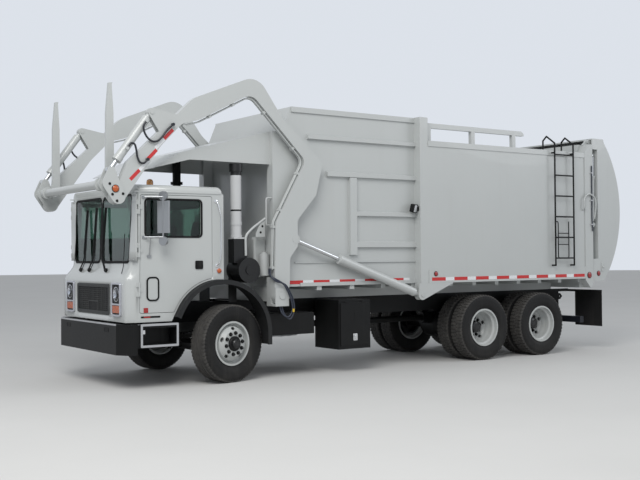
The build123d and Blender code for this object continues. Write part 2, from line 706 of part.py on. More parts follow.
def wheel_arch(growth):
    """Side view of all that lies inside the fender's outer face, moved out by this much."""
    lean = atan2(ARCH_TOP_Z, ARCH_FRONT - ARCH_FOOT)
    with BuildSketch() as arch:
        with BuildLine():
            FilletPolyline(
                (ARCH_FOOT - growth / sin(lean), 0),
                (ARCH_FRONT - growth * tan(lean / 2), ARCH_TOP_Z + growth),
                (ARCH_BACK + growth, ARCH_TOP_Z + growth),
                (ARCH_BACK + growth, 0),
                radius=[5, ARCH_FRONT_BEND + growth, ARCH_BACK_BEND + growth, 5],
                close=True,
            )
        make_face()
    return arch.sketch


def fender_band(depth):
    """Side view of the fender as a band of this depth, cut off square at both ends."""
    with BuildSketch() as kept:
        with BuildLine():
            Polyline(
                (0, FENDER_BACK_Z),
                (0, AXLE_Z),
                (2 * FENDER_END[0], 2 * FENDER_END[1] - AXLE_Z),
                (2 * FENDER_END[0], 1600),
                (900, 1600),
                (900, FENDER_BACK_Z),
                close=True,
            )
        make_face()
    return (wheel_arch(0) - wheel_arch(-depth)) & kept.sketch


with BuildPart() as front_fenders:
    for side in (-1, 1):
        skin_x = sorted((side * FENDER_X[0], side * FENDER_X[1]))
        lip_x = sorted((side * (FENDER_X[1] - 14), side * FENDER_X[1]))
        for (near, far), depth in ((skin_x, FENDER_SHEET), (lip_x, FENDER_LIP)):
            extrude(side_plane(near).location * fender_band(depth), amount=far - near)
        stay_x = sorted((side * RAIL_HALF, side * (FENDER_X[0] + 10)))
        for distance, height in ((-735.0, 1000.0), (560.0, 930.0)):
            block(stay_x, (distance - 15, distance + 15), (height - 15, height + 15))
save("front_fenders", front_fenders)


# Cab shell: hollow, with the doorways, windscreen openings and rear window cut
CAB_BROW = -1385.0  # windscreen's top edge
CAB_BACK = -60.0
SCREEN_FOOT_Z = 1570.0
ARCH_GAP = 6.0  # fender to the cab's wheel arch
ARCH_STRIP = 20.0  # cab wall left between the arch and the doorway
DOOR_CORNERS = [(-1285, 972), (-232, 972), (-232, 2492), (-1265, 2492)]
DOOR_WINDOW = [(-1200, 1955), (-400, 1955), (-400, 2430), (-1180, 2430)]
DOOR_WINDOW_CORNER = 45.0
TUNNEL_HALF = ENGINE_HALF + 70
TUNNEL_TOP_Z = ENGINE_TOP_Z + 60
HINGE_RADIUS = 12.0
HINGE_Y = DOOR_CORNERS[0][0] - PANEL_GAP / 2
HINGE_X = CAB_HALF + HINGE_RADIUS + PIN_GAP
HINGE_HEIGHTS = (1250.0, 1750.0, 2300.0)
HINGE_LEAF = 60.0
PANE_FOOT = 60.0  # windscreen's foot to the lower edge of each pane
PANE_HEIGHT = 860.0
PANE_HALF = 1035.0
PANE_DIVIDER = 22.0
PANE_CORNER = 70.0
DOOR_CORNER = 30.0
GRILLE_HALF = 550.0
GRILLE_Z = (950.0, 1330.0)
GRILLE_RECESS = 25.0
REAR_WINDOW = ((-560.0, 560.0), (1950.0, 2380.0))

screen_lean = atan2(CAB_BROW - CAB_FRONT, CAB_EAVES_Z - SCREEN_FOOT_Z)
screen_plane = Plane(
    origin=(0, aft(CAB_FRONT), SCREEN_FOOT_Z),
    x_dir=(1, 0, 0),
    z_dir=(0, -cos(screen_lean), sin(screen_lean)),
)


def pane_outline(side, shrink):
    """Outline of one windscreen pane on the screen's plane, drawn in by a gap."""
    near = side * (PANE_DIVIDER + shrink)
    far = side * (PANE_HALF - shrink)
    low = PANE_FOOT + shrink
    high = PANE_FOOT + PANE_HEIGHT - shrink
    return [(near, low), (far, low), (far, high), (near, high)]


def door_face(gap):
    """Door in side view, drawn in by a gap, with its lower rear corner cut round the fender."""
    with BuildSketch() as face:
        with BuildLine():
            Polyline(*DOOR_CORNERS, close=True)
        make_face()
        if gap:
            offset(amount=-gap, kind=Kind.INTERSECTION)
        add(wheel_arch(ARCH_GAP + ARCH_STRIP + gap), mode=Mode.SUBTRACT)
        fillet(face.vertices(), radius=DOOR_CORNER - gap)
    return face.sketch


def window_face(gap):
    """Door window in side view, drawn in by a gap."""
    with BuildSketch() as face:
        with BuildLine():
            FilletPolyline(*DOOR_WINDOW, radius=DOOR_WINDOW_CORNER, close=True)
        make_face()
        if gap:
            offset(amount=-gap)
    return face.sketch


with BuildPart() as cab_shell:
    arch_top_y = -135  # where the arch levels out
    cab_side = [
        (CAB_FRONT, CAB_BOTTOM_Z),
        (arch_top_y, CAB_BOTTOM_Z),
        (arch_top_y, ARCH_TOP_Z + ARCH_GAP),
        (CAB_BACK, ARCH_TOP_Z + ARCH_GAP),
        (CAB_BACK, CAB_EAVES_Z),
        (CAB_BROW, CAB_EAVES_Z),
        (CAB_FRONT, SCREEN_FOOT_Z),
    ]
    panel(side_plane(-CAB_HALF), cab_side, 2 * CAB_HALF)
    arch_cut = side_plane(-CAB_HALF - 1).location * wheel_arch(ARCH_GAP)
    extrude(arch_cut, amount=2 * CAB_HALF + 2, mode=Mode.SUBTRACT)
    room = [
        (CAB_FRONT + CAB_WALL, CAB_DECK_Z),
        (-812, CAB_DECK_Z),
        (-612, 1440),
        (CAB_BACK - CAB_WALL, 1440),
        (CAB_BACK - CAB_WALL, CAB_EAVES_Z),
        (CAB_BROW + CAB_WALL, CAB_EAVES_Z),
        (CAB_FRONT + CAB_WALL, SCREEN_FOOT_Z),
    ]
    inner_half = CAB_HALF - CAB_WALL
    panel(side_plane(-inner_half), room, 2 * inner_half, mode=Mode.SUBTRACT)
    underfloor = [
        (CAB_FRONT + CAB_WALL, 0),
        (CAB_FRONT + CAB_WALL, CAB_DECK_Z - CAB_WALL),
        (-790, CAB_DECK_Z - CAB_WALL),
        (-590, 1400),
        (CAB_BACK + 10, 1400),
        (CAB_BACK + 10, 0),
    ]
    panel(side_plane(-inner_half), underfloor, 2 * inner_half, mode=Mode.SUBTRACT)
    block(
        (-TUNNEL_HALF, TUNNEL_HALF),
        (CAB_FRONT + CAB_WALL - 5, CAB_BACK),
        (CAB_DECK_Z - CAB_WALL, TUNNEL_TOP_Z),
    )
    block(
        (-TUNNEL_HALF + CAB_WALL, TUNNEL_HALF - CAB_WALL),
        (CAB_FRONT + CAB_WALL + 20, CAB_BACK + 10),
        (CAB_BOTTOM_Z - 10, TUNNEL_TOP_Z - CAB_WALL),
        Mode.SUBTRACT,
    )
    for side in (-1, 1):
        opening_x = sorted((side * (inner_half - 10), side * (CAB_HALF + 10)))
        depth = opening_x[1] - opening_x[0]
        doorway = side_plane(opening_x[0]).location * door_face(0)
        extrude(doorway, amount=depth, mode=Mode.SUBTRACT)
        behind = screen_plane.offset(-CAB_WALL * 2)
        panel(behind, pane_outline(side, 0), CAB_WALL * 3, PANE_CORNER, Mode.SUBTRACT)
        for height in HINGE_HEIGHTS:
            for low in (height - HINGE_LEAF - PIN_GAP, height + HINGE_LEAF + PIN_GAP):
                hinge_foot = (side * HINGE_X, aft(HINGE_Y), low)
                bar(hinge_foot, (side * HINGE_X, aft(HINGE_Y), low + HINGE_LEAF), HINGE_RADIUS)
                leaf_x = sorted((side * (CAB_HALF - 6), side * HINGE_X))
                block(leaf_x, (HINGE_Y - 40, HINGE_Y - 6), (low, low + HINGE_LEAF))
    (window_x, window_z) = REAR_WINDOW
    block(window_x, (CAB_BACK - CAB_WALL - 10, CAB_BACK + 10), window_z, Mode.SUBTRACT)
    block(
        (-GRILLE_HALF, GRILLE_HALF),
        (CAB_FRONT - 1, CAB_FRONT + GRILLE_RECESS),
        GRILLE_Z,
        Mode.SUBTRACT,
    )
save("cab_shell", cab_shell)


# Cab roof: a shallow cap with rounded edges and a drip rail, hollow below
with BuildPart() as cab_roof:
    with BuildSketch(top_plane(CAB_EAVES_Z)):
        with Locations((0, (CAB_BROW + CAB_BACK) / 2)):
            RectangleRounded(2 * CAB_HALF, CAB_BACK - CAB_BROW, 60)
    extrude(amount=CAB_TOP_Z - CAB_EAVES_Z)
    fillet(cab_roof.faces().sort_by(Axis.Z)[-1].edges(), radius=78)
    with BuildSketch(top_plane(CAB_EAVES_Z)):
        with Locations((0, (CAB_BROW + CAB_BACK) / 2)):
            RectangleRounded(2 * (CAB_HALF - 80), CAB_BACK - CAB_BROW - 160, 30)
    extrude(amount=CAB_TOP_Z - CAB_EAVES_Z - CAB_WALL, mode=Mode.SUBTRACT)
    with BuildSketch(top_plane(CAB_EAVES_Z)):
        with Locations((0, (CAB_BROW + CAB_BACK) / 2)):
            RectangleRounded(2 * CAB_HALF + 16, CAB_BACK - CAB_BROW + 16, 66)
            RectangleRounded(2 * CAB_HALF - 60, CAB_BACK - CAB_BROW - 60, 40, mode=Mode.SUBTRACT)
    extrude(amount=14)
save("cab_roof", cab_roof)


# Glass of the windscreen and the rear window, each pane seated in its opening
with BuildPart() as cab_glass:
    for side in (-1, 1):
        behind = screen_plane.offset(-CAB_WALL / 2)
        panel(behind, pane_outline(side, PIN_GAP), GLASS, PANE_CORNER - PIN_GAP)
    (window_x, window_z) = REAR_WINDOW
    pane_y = CAB_BACK - CAB_WALL / 2
    block(
        (window_x[0] + PIN_GAP, window_x[1] - PIN_GAP),
        (pane_y, pane_y + GLASS),
        (window_z[0] + PIN_GAP, window_z[1] - PIN_GAP),
    )
save("cab_glass", cab_glass)


# Doors: as thick as the cab's wall, cut round the wheel arch, with a window pane and a hinged edge
for name, side in (("left_door", 1), ("right_door", -1)):
    with BuildPart() as door:
        wall_x = sorted((side * (CAB_HALF - CAB_WALL), side * CAB_HALF))
        extrude(side_plane(wall_x[0]).location * door_face(PANEL_GAP), amount=CAB_WALL)
        window = side_plane(wall_x[0] - 5).location * window_face(0)
        extrude(window, amount=CAB_WALL + 10, mode=Mode.SUBTRACT)
        for height in HINGE_HEIGHTS:
            bar(
                (side * HINGE_X, aft(HINGE_Y), height),
                (side * HINGE_X, aft(HINGE_Y), height + HINGE_LEAF),
                HINGE_RADIUS,
            )
            leaf_x = sorted((side * (CAB_HALF + PIN_GAP), side * (CAB_HALF + 8)))
            block(leaf_x, (HINGE_Y + 2, HINGE_Y + 50), (height, height + HINGE_LEAF))
            foot_x = sorted((side * (CAB_HALF - 2), side * (CAB_HALF + 8)))
            block(foot_x, (HINGE_Y + 34, HINGE_Y + 50), (height, height + HINGE_LEAF))
        handle_x = sorted((side * (CAB_HALF - 2), side * (CAB_HALF + 9)))
        block(handle_x, (-480, -385), (1535, 1630))
    save(name, door)

    with BuildPart() as pane:
        pane_x = side * (CAB_HALF - CAB_WALL / 2) - GLASS / 2
        extrude(side_plane(pane_x).location * window_face(PIN_GAP), amount=GLASS)
    save(f"{name}_glass", pane)


# Mirrors: a tall glass on a tube bracket, a round convex glass below and a dish above
MIRROR_X = 1270.0
MIRROR_Y = -1025.0
MIRROR_SIZE = (180.0, 34.0, 412.0)
MIRROR_Z = 2200.0
MIRROR_TURN = 32.0
MIRROR_TUBE = 11.0
DISH_RADIUS = 60.0

for name, side in (("left_mirror", 1), ("right_mirror", -1)):
    with BuildPart() as mirror_set:
        glass_dir = (-side * sin(radians(MIRROR_TURN)), cos(radians(MIRROR_TURN)), 0)
        post = (side * MIRROR_X, aft(MIRROR_Y))
        head_foot_z = MIRROR_Z - MIRROR_SIZE[2] / 2
        head_plane = Plane(
            origin=(post[0] + glass_dir[0] * 14, post[1] + glass_dir[1] * 14, head_foot_z),
            x_dir=(cos(radians(MIRROR_TURN)), side * sin(radians(MIRROR_TURN)), 0),
            z_dir=(0, 0, 1),
        )
        with BuildSketch(head_plane) as head:
            RectangleRounded(MIRROR_SIZE[0], MIRROR_SIZE[1], 10)
        extrude(head.sketch, amount=MIRROR_SIZE[2])
        low_z = MIRROR_Z - MIRROR_SIZE[2] / 2 - 50
        high_z = MIRROR_Z + MIRROR_SIZE[2] / 2 + 50
        inboard = side * (CAB_HALF + 14)
        foot_y = MIRROR_Y - 190
        high_foot = (inboard, aft(foot_y), high_z)
        low_foot = (inboard, aft(foot_y), low_z)
        pipe([high_foot, (*post, high_z), (*post, low_z), low_foot], MIRROR_TUBE)
        stay_y = foot_y + 65
        stay_top = (side * (CAB_HALF + 60), aft(stay_y), low_z - 4)
        pipe([(inboard, aft(stay_y), 1700), stay_top], 8)
        for middle_z, middle_y in ((low_z, foot_y), (high_z, foot_y), (1700, stay_y)):
            foot_x = sorted((side * (CAB_HALF + PIN_GAP), side * (CAB_HALF + 16)))
            block(foot_x, (middle_y - 28, middle_y + 28), (middle_z - 16, middle_z + 16))
        for dish_z, depth in ((low_z - 50, 30.0), (high_z + 12, 26.0)):
            back = (post[0] - glass_dir[0] * 6, post[1] - glass_dir[1] * 6, dish_z)
            front = (post[0] + glass_dir[0] * depth, post[1] + glass_dir[1] * depth, dish_z)
            bar(back, front, DISH_RADIUS)
    save(name, mirror_set)


# Cab inside: two seats, and a dashboard with the steering wheel
SEAT_X = 700.0
SEAT_FLOOR_Z = 1440.0

with BuildPart() as cab_seats:
    for side in (-1, 1):
        with BuildSketch(side_plane(side * SEAT_X - 230)) as seat:
            with BuildLine():
                FilletPolyline(
                    (-560, SEAT_FLOOR_Z + 110),
                    (-190, SEAT_FLOOR_Z + 90),
                    (-110, SEAT_FLOOR_Z + 760),
                    (-190, SEAT_FLOOR_Z + 770),
                    (-285, SEAT_FLOOR_Z + 215),
                    (-610, SEAT_FLOOR_Z + 235),
                    radius=24,
                    close=True,
                )
            make_face()
        extrude(seat.sketch, amount=460)
        pedestal = sorted((side * SEAT_X - 150, side * SEAT_X + 150))
        block(pedestal, (-500, -230), (SEAT_FLOOR_Z, SEAT_FLOOR_Z + 130))
save("cab_seats", cab_seats)

WHEEL_CENTRE = (-985.0, 1790.0)
WHEEL_RADIUS = 220.0
WHEEL_LEAN = 52.0

with BuildPart() as dashboard:
    desk = [
        (CAB_FRONT + CAB_WALL, 1340),
        (-1180, 1400),
        (-1180, 1560),
        (-1260, 1640),
        (CAB_FRONT + CAB_WALL + 10, 1640),
        (CAB_FRONT + CAB_WALL, SCREEN_FOOT_Z),
    ]
    half = CAB_HALF - CAB_WALL - PIN_GAP
    panel(side_plane(-half), desk, 2 * half, corner=3)
    tunnel = TUNNEL_HALF + PIN_GAP
    block((-tunnel, tunnel), (CAB_FRONT, -1170), (1300, TUNNEL_TOP_Z + PIN_GAP), Mode.SUBTRACT)
    column_dir = (0, sin(radians(90 - WHEEL_LEAN)), cos(radians(90 - WHEEL_LEAN)))
    hub = Vector(*at(SEAT_X, WHEEL_CENTRE))
    column_foot = hub - Vector(*column_dir) * 330
    bar(tuple(column_foot), tuple(hub), 32)
    wheel_plane_up = Plane(origin=hub, x_dir=(1, 0, 0), z_dir=column_dir)
    with BuildSketch(wheel_plane_up.offset(-14)) as rim_ring:
        Circle(WHEEL_RADIUS)
        Circle(WHEEL_RADIUS - 28, mode=Mode.SUBTRACT)
        Rectangle(2 * WHEEL_RADIUS - 30, 44)
        Circle(60)
    extrude(rim_ring.sketch, amount=28)
save("dashboard", dashboard)


# Grille in the cab's front recess: a frame round upright bars, on a backing plate
GRILLE_BARS = 22
GRILLE_FRAME = 34.0
GRILLE_BAR = 9.0

with BuildPart() as front_grille:
    recess = CAB_FRONT + GRILLE_RECESS
    half = GRILLE_HALF - PIN_GAP
    low, high = GRILLE_Z[0] + PIN_GAP, GRILLE_Z[1] - PIN_GAP
    block((-half, half), (recess - 4, recess), (low, high))
    block((-half, half), (recess - 30, recess - 4), (low, high))
    block(
        (-half + GRILLE_FRAME, half - GRILLE_FRAME),
        (recess - 31, recess - 4),
        (low + GRILLE_FRAME, high - GRILLE_FRAME),
        Mode.SUBTRACT,
    )
    pitch = 2 * (half - GRILLE_FRAME) / (GRILLE_BARS + 1)
    for index in range(GRILLE_BARS):
        middle = -half + GRILLE_FRAME + pitch * (index + 1)
        bar_x = (middle - GRILLE_BAR / 2, middle + GRILLE_BAR / 2)
        block(bar_x, (recess - 24, recess - 4), (low + GRILLE_FRAME, high - GRILLE_FRAME))
save("front_grille", front_grille)


# Headlights: a bezel on each side of the grille with two square lamps, one over the other
LAMP_X = (655.0, 940.0)
LAMP_Z = (930.0, 1365.0)

with BuildPart() as headlights:
    for side in (-1, 1):
        bezel_x = sorted((side * LAMP_X[0], side * LAMP_X[1]))
        block(bezel_x, (CAB_FRONT - 26, CAB_FRONT), LAMP_Z)
        middle_x = side * (LAMP_X[0] + LAMP_X[1]) / 2
        for middle_z in (LAMP_Z[0] + 118, LAMP_Z[1] - 118):
            lamp_x = (middle_x - 105, middle_x + 105)
            block(lamp_x, (CAB_FRONT - 27, CAB_FRONT - 14), (middle_z - 80, middle_z + 80), Mode.SUBTRACT)
            bar(at(middle_x, (CAB_FRONT - 14, middle_z)), at(middle_x, (CAB_FRONT - 22, middle_z)), 70)
save("headlights", headlights)


# Body floor: sills along the rails, cross members over them and floor plates
SILL_TOP_Z = 1200.0
FLOOR_SHEET = 20.0
BODY_FRONT = COLUMN_SETBACK + COLUMN_DEPTH
STORAGE_FRONT = MID_COLUMN + MID_COLUMN_DEPTH
MEMBER_DEPTH = 80.0
HOPPER_MEMBERS = 5
STORAGE_MEMBERS = 8

with BuildPart() as body_floor:
    for side in (-1, 1):
        sill_x = sorted((side * (RAIL_HALF - RAIL_FLANGE), side * RAIL_HALF))
        block(sill_x, (BODY_FRONT + SWING_GAP, REAR_COLUMN), (RAIL_TOP_Z, SILL_TOP_Z))
    sections = (
        (BODY_FRONT, MID_COLUMN - MEMBER_DEPTH, HOPPER_MEMBERS, HOPPER_HALF),
        (STORAGE_FRONT, REAR_COLUMN - MEMBER_DEPTH, STORAGE_MEMBERS, HOPPER_HALF + 40),
    )
    for first, last, count, half in sections:
        for index in range(count):
            front = first + (last - first) * index / (count - 1)
            block((-half, half), (front, front + MEMBER_DEPTH), (SILL_TOP_Z, FLOOR_Z))
    plates = (
        (BODY_FRONT + BODY_SHEET, STORAGE_FRONT, HOPPER_HALF - BODY_SHEET),
        (STORAGE_FRONT, REAR_COLUMN, BODY_HALF - STORAGE_SHEET),
    )
    for front, back, half in plates:
        block((-half, half), (front, back), (FLOOR_Z, FLOOR_Z + FLOOR_SHEET))
save("body_floor", body_floor)


# Front frame: the hopper's front columns on a cross beam, with a bracket for each arm's pivot
FRAME_BEAM_Z = 1250.0
BRACKET_Z = (1000.0, 1400.0)
BRACKET_SIDE = 109.0  # pivot to the bracket's front and rear edges
BRACKET_FLOOR = 28.0
OUTER_PLATE_TOP_Z = 1250.0
COLUMN_TOP_Z = 3430.0
BULKHEAD_TOP_Z = 2050.0

with BuildPart() as front_frame:
    block((-1025, 1025), (700, BODY_FRONT - SWING_GAP), (RAIL_TOP_Z, FRAME_BEAM_Z))
    bulkhead_x = HOPPER_HALF - COLUMN_WIDTH
    bulkhead_y = (COLUMN_SETBACK, COLUMN_SETBACK + BODY_SHEET)
    block((-bulkhead_x, bulkhead_x), bulkhead_y, (FRAME_BEAM_Z, BULKHEAD_TOP_Z))
    bracket_y = (ARM_PIVOT[0] - BRACKET_SIDE, ARM_PIVOT[0] + BRACKET_SIDE)
    inner_plate = ARM_INNER_X - PIN_GAP
    outer_plate = ARM_OUTER_X + PIN_GAP
    for side in (-1, 1):
        column_x = sorted((side * (HOPPER_HALF - COLUMN_WIDTH), side * HOPPER_HALF))
        block(column_x, (COLUMN_SETBACK, BODY_FRONT), (FRAME_BEAM_Z, COLUMN_TOP_Z))
        box_x = sorted((side * 1020, side * (inner_plate - 4)))
        block(box_x, bracket_y, BRACKET_Z)
        floor_x = sorted((side * 1020, side * (outer_plate + PLATE)))
        block(floor_x, bracket_y, (BRACKET_Z[0], BRACKET_Z[0] + BRACKET_FLOOR))
        plate_x = sorted((side * (outer_plate + 4), side * (outer_plate + PLATE)))
        block(plate_x, bracket_y, (BRACKET_Z[0], OUTER_PLATE_TOP_Z))
        for inner_face, outer_face in ((inner_plate - 4, inner_plate), (outer_plate, outer_plate + 4)):
            cross_bar((side * inner_face, side * outer_face), ARM_PIVOT, ARM_PIN_RADIUS + 40)
        cross_bar((side * (inner_plate - 60), side * (outer_plate + PLATE + 10)), ARM_PIVOT, ARM_PIN_RADIUS)
save("front_frame", front_frame)


# Hopper: ribbed side walls, a front wall that leans back to the top, and ledges for the top door
HEADER_BACK = 1195.0
LEDGE_TOP_Z = 3735.0
RIB_SHEET = 20.0
HOPPER_RIBS = (
    # (front, bottom, top)
    (1320.0, 3345.0, 3420.0),
    (1650.0, 2825.0, 2910.0),
    (2175.0, 2262.0, 2342.0),
    (2175.0, 1800.0, 1900.0),
)
POST_RIB = (2053.0, 2175.0, 1700.0, 2830.0)

with BuildPart() as hopper_body:
    wall = [
        (BODY_FRONT, FLOOR_Z),
        (MID_COLUMN, FLOOR_Z),
        (MID_COLUMN, HOPPER_TOP_Z),
        (BODY_FRONT + 154, HOPPER_TOP_Z),
        (BODY_FRONT, COLUMN_TOP_Z),
    ]
    nose = [
        (BODY_FRONT, FLOOR_Z),
        (BODY_FRONT + BODY_SHEET, FLOOR_Z),
        (BODY_FRONT + BODY_SHEET, COLUMN_TOP_Z - 2),
        (BODY_FRONT + 154 + BODY_SHEET, HOPPER_TOP_Z),
        (BODY_FRONT + 154, HOPPER_TOP_Z),
        (BODY_FRONT, COLUMN_TOP_Z),
    ]
    panel(side_plane(-HOPPER_HALF), nose, 2 * HOPPER_HALF)
    header_y = (BODY_FRONT + 154, HEADER_BACK)
    block((-HOPPER_HALF, HOPPER_HALF), header_y, (HOPPER_TOP_Z - BODY_SHEET, HOPPER_TOP_Z))
    for side in (-1, 1):
        wall_x = sorted((side * (HOPPER_HALF - BODY_SHEET), side * HOPPER_HALF))
        panel(side_plane(wall_x[0]), wall, BODY_SHEET)
        for front, bottom, top in HOPPER_RIBS:
            root = side * (HOPPER_HALF - 1)
            crest = side * RIB_HALF
            rib = [(root, bottom), (crest, bottom + 12), (crest, top - 12), (root, top)]
            panel(front_plane(MID_COLUMN), rib, MID_COLUMN - front)
        front, back, bottom, top = POST_RIB
        block(sorted((side * (HOPPER_HALF - 1), side * RIB_HALF)), (front, back), (bottom, top))
        ledge_x = sorted((side * (HOPPER_HALF - 1), side * (HOPPER_HALF + RIB_SHEET)))
        block(ledge_x, (BODY_FRONT + 200, MID_COLUMN), (1590, 1605))
        block(ledge_x, (BODY_FRONT + 290, MID_COLUMN), (FLOOR_Z, FLOOR_Z + 50))
        block(ledge_x, (BODY_FRONT + 154, MID_COLUMN), (HOPPER_TOP_Z - 75, HOPPER_TOP_Z))
        runner_x = sorted((side * 1000, side * (HOPPER_HALF - BODY_SHEET + 1)))
        block(runner_x, (HEADER_BACK - 45, MID_COLUMN), (LEDGE_TOP_Z - 20, LEDGE_TOP_Z))
save("hopper_body", hopper_body)


# Top door over the hopper: a flat lid with a raised rim that slides back along the ledges
DOOR_HALF = 1055.0
DOOR_LENGTH = 2095.0
DOOR_SHEET = 10.0
DOOR_DEPTH = 48.0

with BuildPart() as top_door:
    bottom_z = LEDGE_TOP_Z + PIN_GAP
    reach = (HEADER_BACK + SWING_GAP, HEADER_BACK + SWING_GAP + DOOR_LENGTH)
    block((-DOOR_HALF, DOOR_HALF), reach, (bottom_z, bottom_z + DOOR_DEPTH))
    block(
        (-DOOR_HALF + 40, DOOR_HALF - 40),
        (reach[0] + 40, reach[1] - 40),
        (bottom_z - 1, bottom_z + DOOR_DEPTH - DOOR_SHEET),
        Mode.SUBTRACT,
    )
    for index in range(1, 5):
        middle = reach[0] + DOOR_LENGTH * index / 5
        stiffener_z = (bottom_z + 8, bottom_z + DOOR_DEPTH)
        block((-DOOR_HALF + 30, DOOR_HALF - 30), (middle - 12, middle + 12), stiffener_z)
save("top_door", top_door)


# Packer panel: a hollow ram that slides along the hopper floor
PACKER_HALF = 1050.0
PACKER_FRONT = BODY_FRONT + 290.0
PACKER_DEPTH = 230.0
PACKER_TOP_Z = 2300.0

with BuildPart() as packer_panel:
    bottom_z = FLOOR_Z + FLOOR_SHEET + PIN_GAP
    packer_y = (PACKER_FRONT, PACKER_FRONT + PACKER_DEPTH)
    block((-PACKER_HALF, PACKER_HALF), packer_y, (bottom_z, PACKER_TOP_Z))
    block(
        (-PACKER_HALF + 25, PACKER_HALF - 25),
        (PACKER_FRONT - 1, PACKER_FRONT + PACKER_DEPTH - 25),
        (bottom_z + 25, PACKER_TOP_Z - 25),
        Mode.SUBTRACT,
    )
    for middle in (-350, 350):
        block((middle - 10, middle + 10), packer_y, (bottom_z, PACKER_TOP_Z))
save("packer_panel", packer_panel)


# Middle frame: columns between hopper and storage, tied at the top, with the lift cylinders' feet
MID_COLUMN_Z = (1190.0, 3800.0)
MID_BEAM_Z = (3450.0, 3729.0)
FOOT_RADIUS = 75.0
FOOT_PLATE = 22.0
EYE_HALF_WIDTH = EYE_WIDTH / 2

with BuildPart() as mid_frame:
    block((-HOPPER_HALF - 1, HOPPER_HALF + 1), (MID_COLUMN, STORAGE_FRONT), MID_BEAM_Z)
    for side in (-1, 1):
        column_x = sorted((side * HOPPER_HALF, side * BODY_HALF))
        block(column_x, (MID_COLUMN, STORAGE_FRONT), MID_COLUMN_Z)
        for near in (ARM_X - EYE_HALF_WIDTH - FOOT_PLATE, ARM_X + EYE_HALF_WIDTH):
            plate_x = sorted((side * near, side * (near + FOOT_PLATE)))
            with BuildSketch(side_plane(plate_x[0])) as foot:
                with BuildLine():
                    Polyline(
                        (MID_COLUMN - 40, 1250),
                        (MID_COLUMN + 20, 1080),
                        (MID_COLUMN + 640, 1249),
                        (MID_COLUMN + 640, 1259),
                        (MID_COLUMN - 40, 1259),
                        close=True,
                    )
                make_face()
                with Locations(LIFT_BASE_PIN):
                    Circle(FOOT_RADIUS)
                with BuildLine():
                    Polyline(
                        (MID_COLUMN - 40, 1259),
                        (LIFT_BASE_PIN[0] - FOOT_RADIUS, LIFT_BASE_PIN[1]),
                        (LIFT_BASE_PIN[0] + 15, LIFT_BASE_PIN[1] - FOOT_RADIUS + 2),
                        (MID_COLUMN + 640, 1249),
                        close=True,
                    )
                make_face()
            extrude(foot.sketch, amount=FOOT_PLATE)
        pin_end = ARM_X + EYE_HALF_WIDTH + FOOT_PLATE + 12
        pin_start = ARM_X - EYE_HALF_WIDTH - FOOT_PLATE
        cross_bar((side * pin_start, side * pin_end), LIFT_BASE_PIN, CYLINDER_PIN_RADIUS)
save("mid_frame", mid_frame)


# Storage body: walls, roof, rails along both edges, and the top door's guard rails on the roof
RAIL_PROUD = 12.0
TOP_RAIL_Z = 3360.0
BOTTOM_RAIL_Z = (1260.0, 1467.0)
GUARD_X = (1085.0, 1150.0)
GUARD_TOP_Z = 3729.0
GUARD_POSTS = (3520.0, 4450.0, 5370.0)
GUARD_BACK = 5640.0

with BuildPart() as storage_body:
    storage_y = (STORAGE_FRONT, REAR_COLUMN)
    block((-BODY_HALF, BODY_HALF), storage_y, (STORAGE_TOP_Z - STORAGE_SHEET, STORAGE_TOP_Z))
    for side in (-1, 1):
        wall_x = sorted((side * (BODY_HALF - STORAGE_SHEET), side * BODY_HALF))
        block(wall_x, storage_y, (FLOOR_Z, STORAGE_TOP_Z))
        rail_x = sorted((side * (BODY_HALF - 1), side * (BODY_HALF + RAIL_PROUD)))
        block(rail_x, storage_y, (TOP_RAIL_Z, STORAGE_TOP_Z))
        block(rail_x, storage_y, BOTTOM_RAIL_Z)
        guard_x = sorted((side * GUARD_X[0], side * GUARD_X[1]))
        beam = [
            (STORAGE_FRONT, GUARD_TOP_Z),
            (STORAGE_FRONT, GUARD_TOP_Z - 75),
            (GUARD_BACK, GUARD_TOP_Z - 75),
            (GUARD_BACK, GUARD_TOP_Z - 40),
            (GUARD_BACK - 60, GUARD_TOP_Z),
        ]
        panel(side_plane(guard_x[0]), beam, guard_x[1] - guard_x[0])
        for front in GUARD_POSTS:
            block(guard_x, (front, front + 75), (STORAGE_TOP_Z, GUARD_TOP_Z - 60))
save("storage_body", storage_body)


# Rear frame: columns tied above and below the opening, with tailgate hinges and cylinder feet
REAR_COLUMN_X = (1080.0, 1235.0)
REAR_TOP_Z = 3600.0
HINGE_LUG_X = (1100.0, 1130.0)
HINGE_LUG_RADIUS = 38.0
TAILGATE_CYLINDER_X = 1150.0
TAILGATE_BASE_PIN = (TAILGATE_FRONT + 60, 2200.0)
TAILGATE_ROD_PIN = (TAILGATE_FRONT + 90, 3420.0)
TAILGATE_EYE_HALF = 20.0
TAILGATE_HINGE = (REAR_COLUMN_BACK + 10, TAILGATE_HINGE_Z)
UNDERRIDE_Z = (480.0, 590.0)

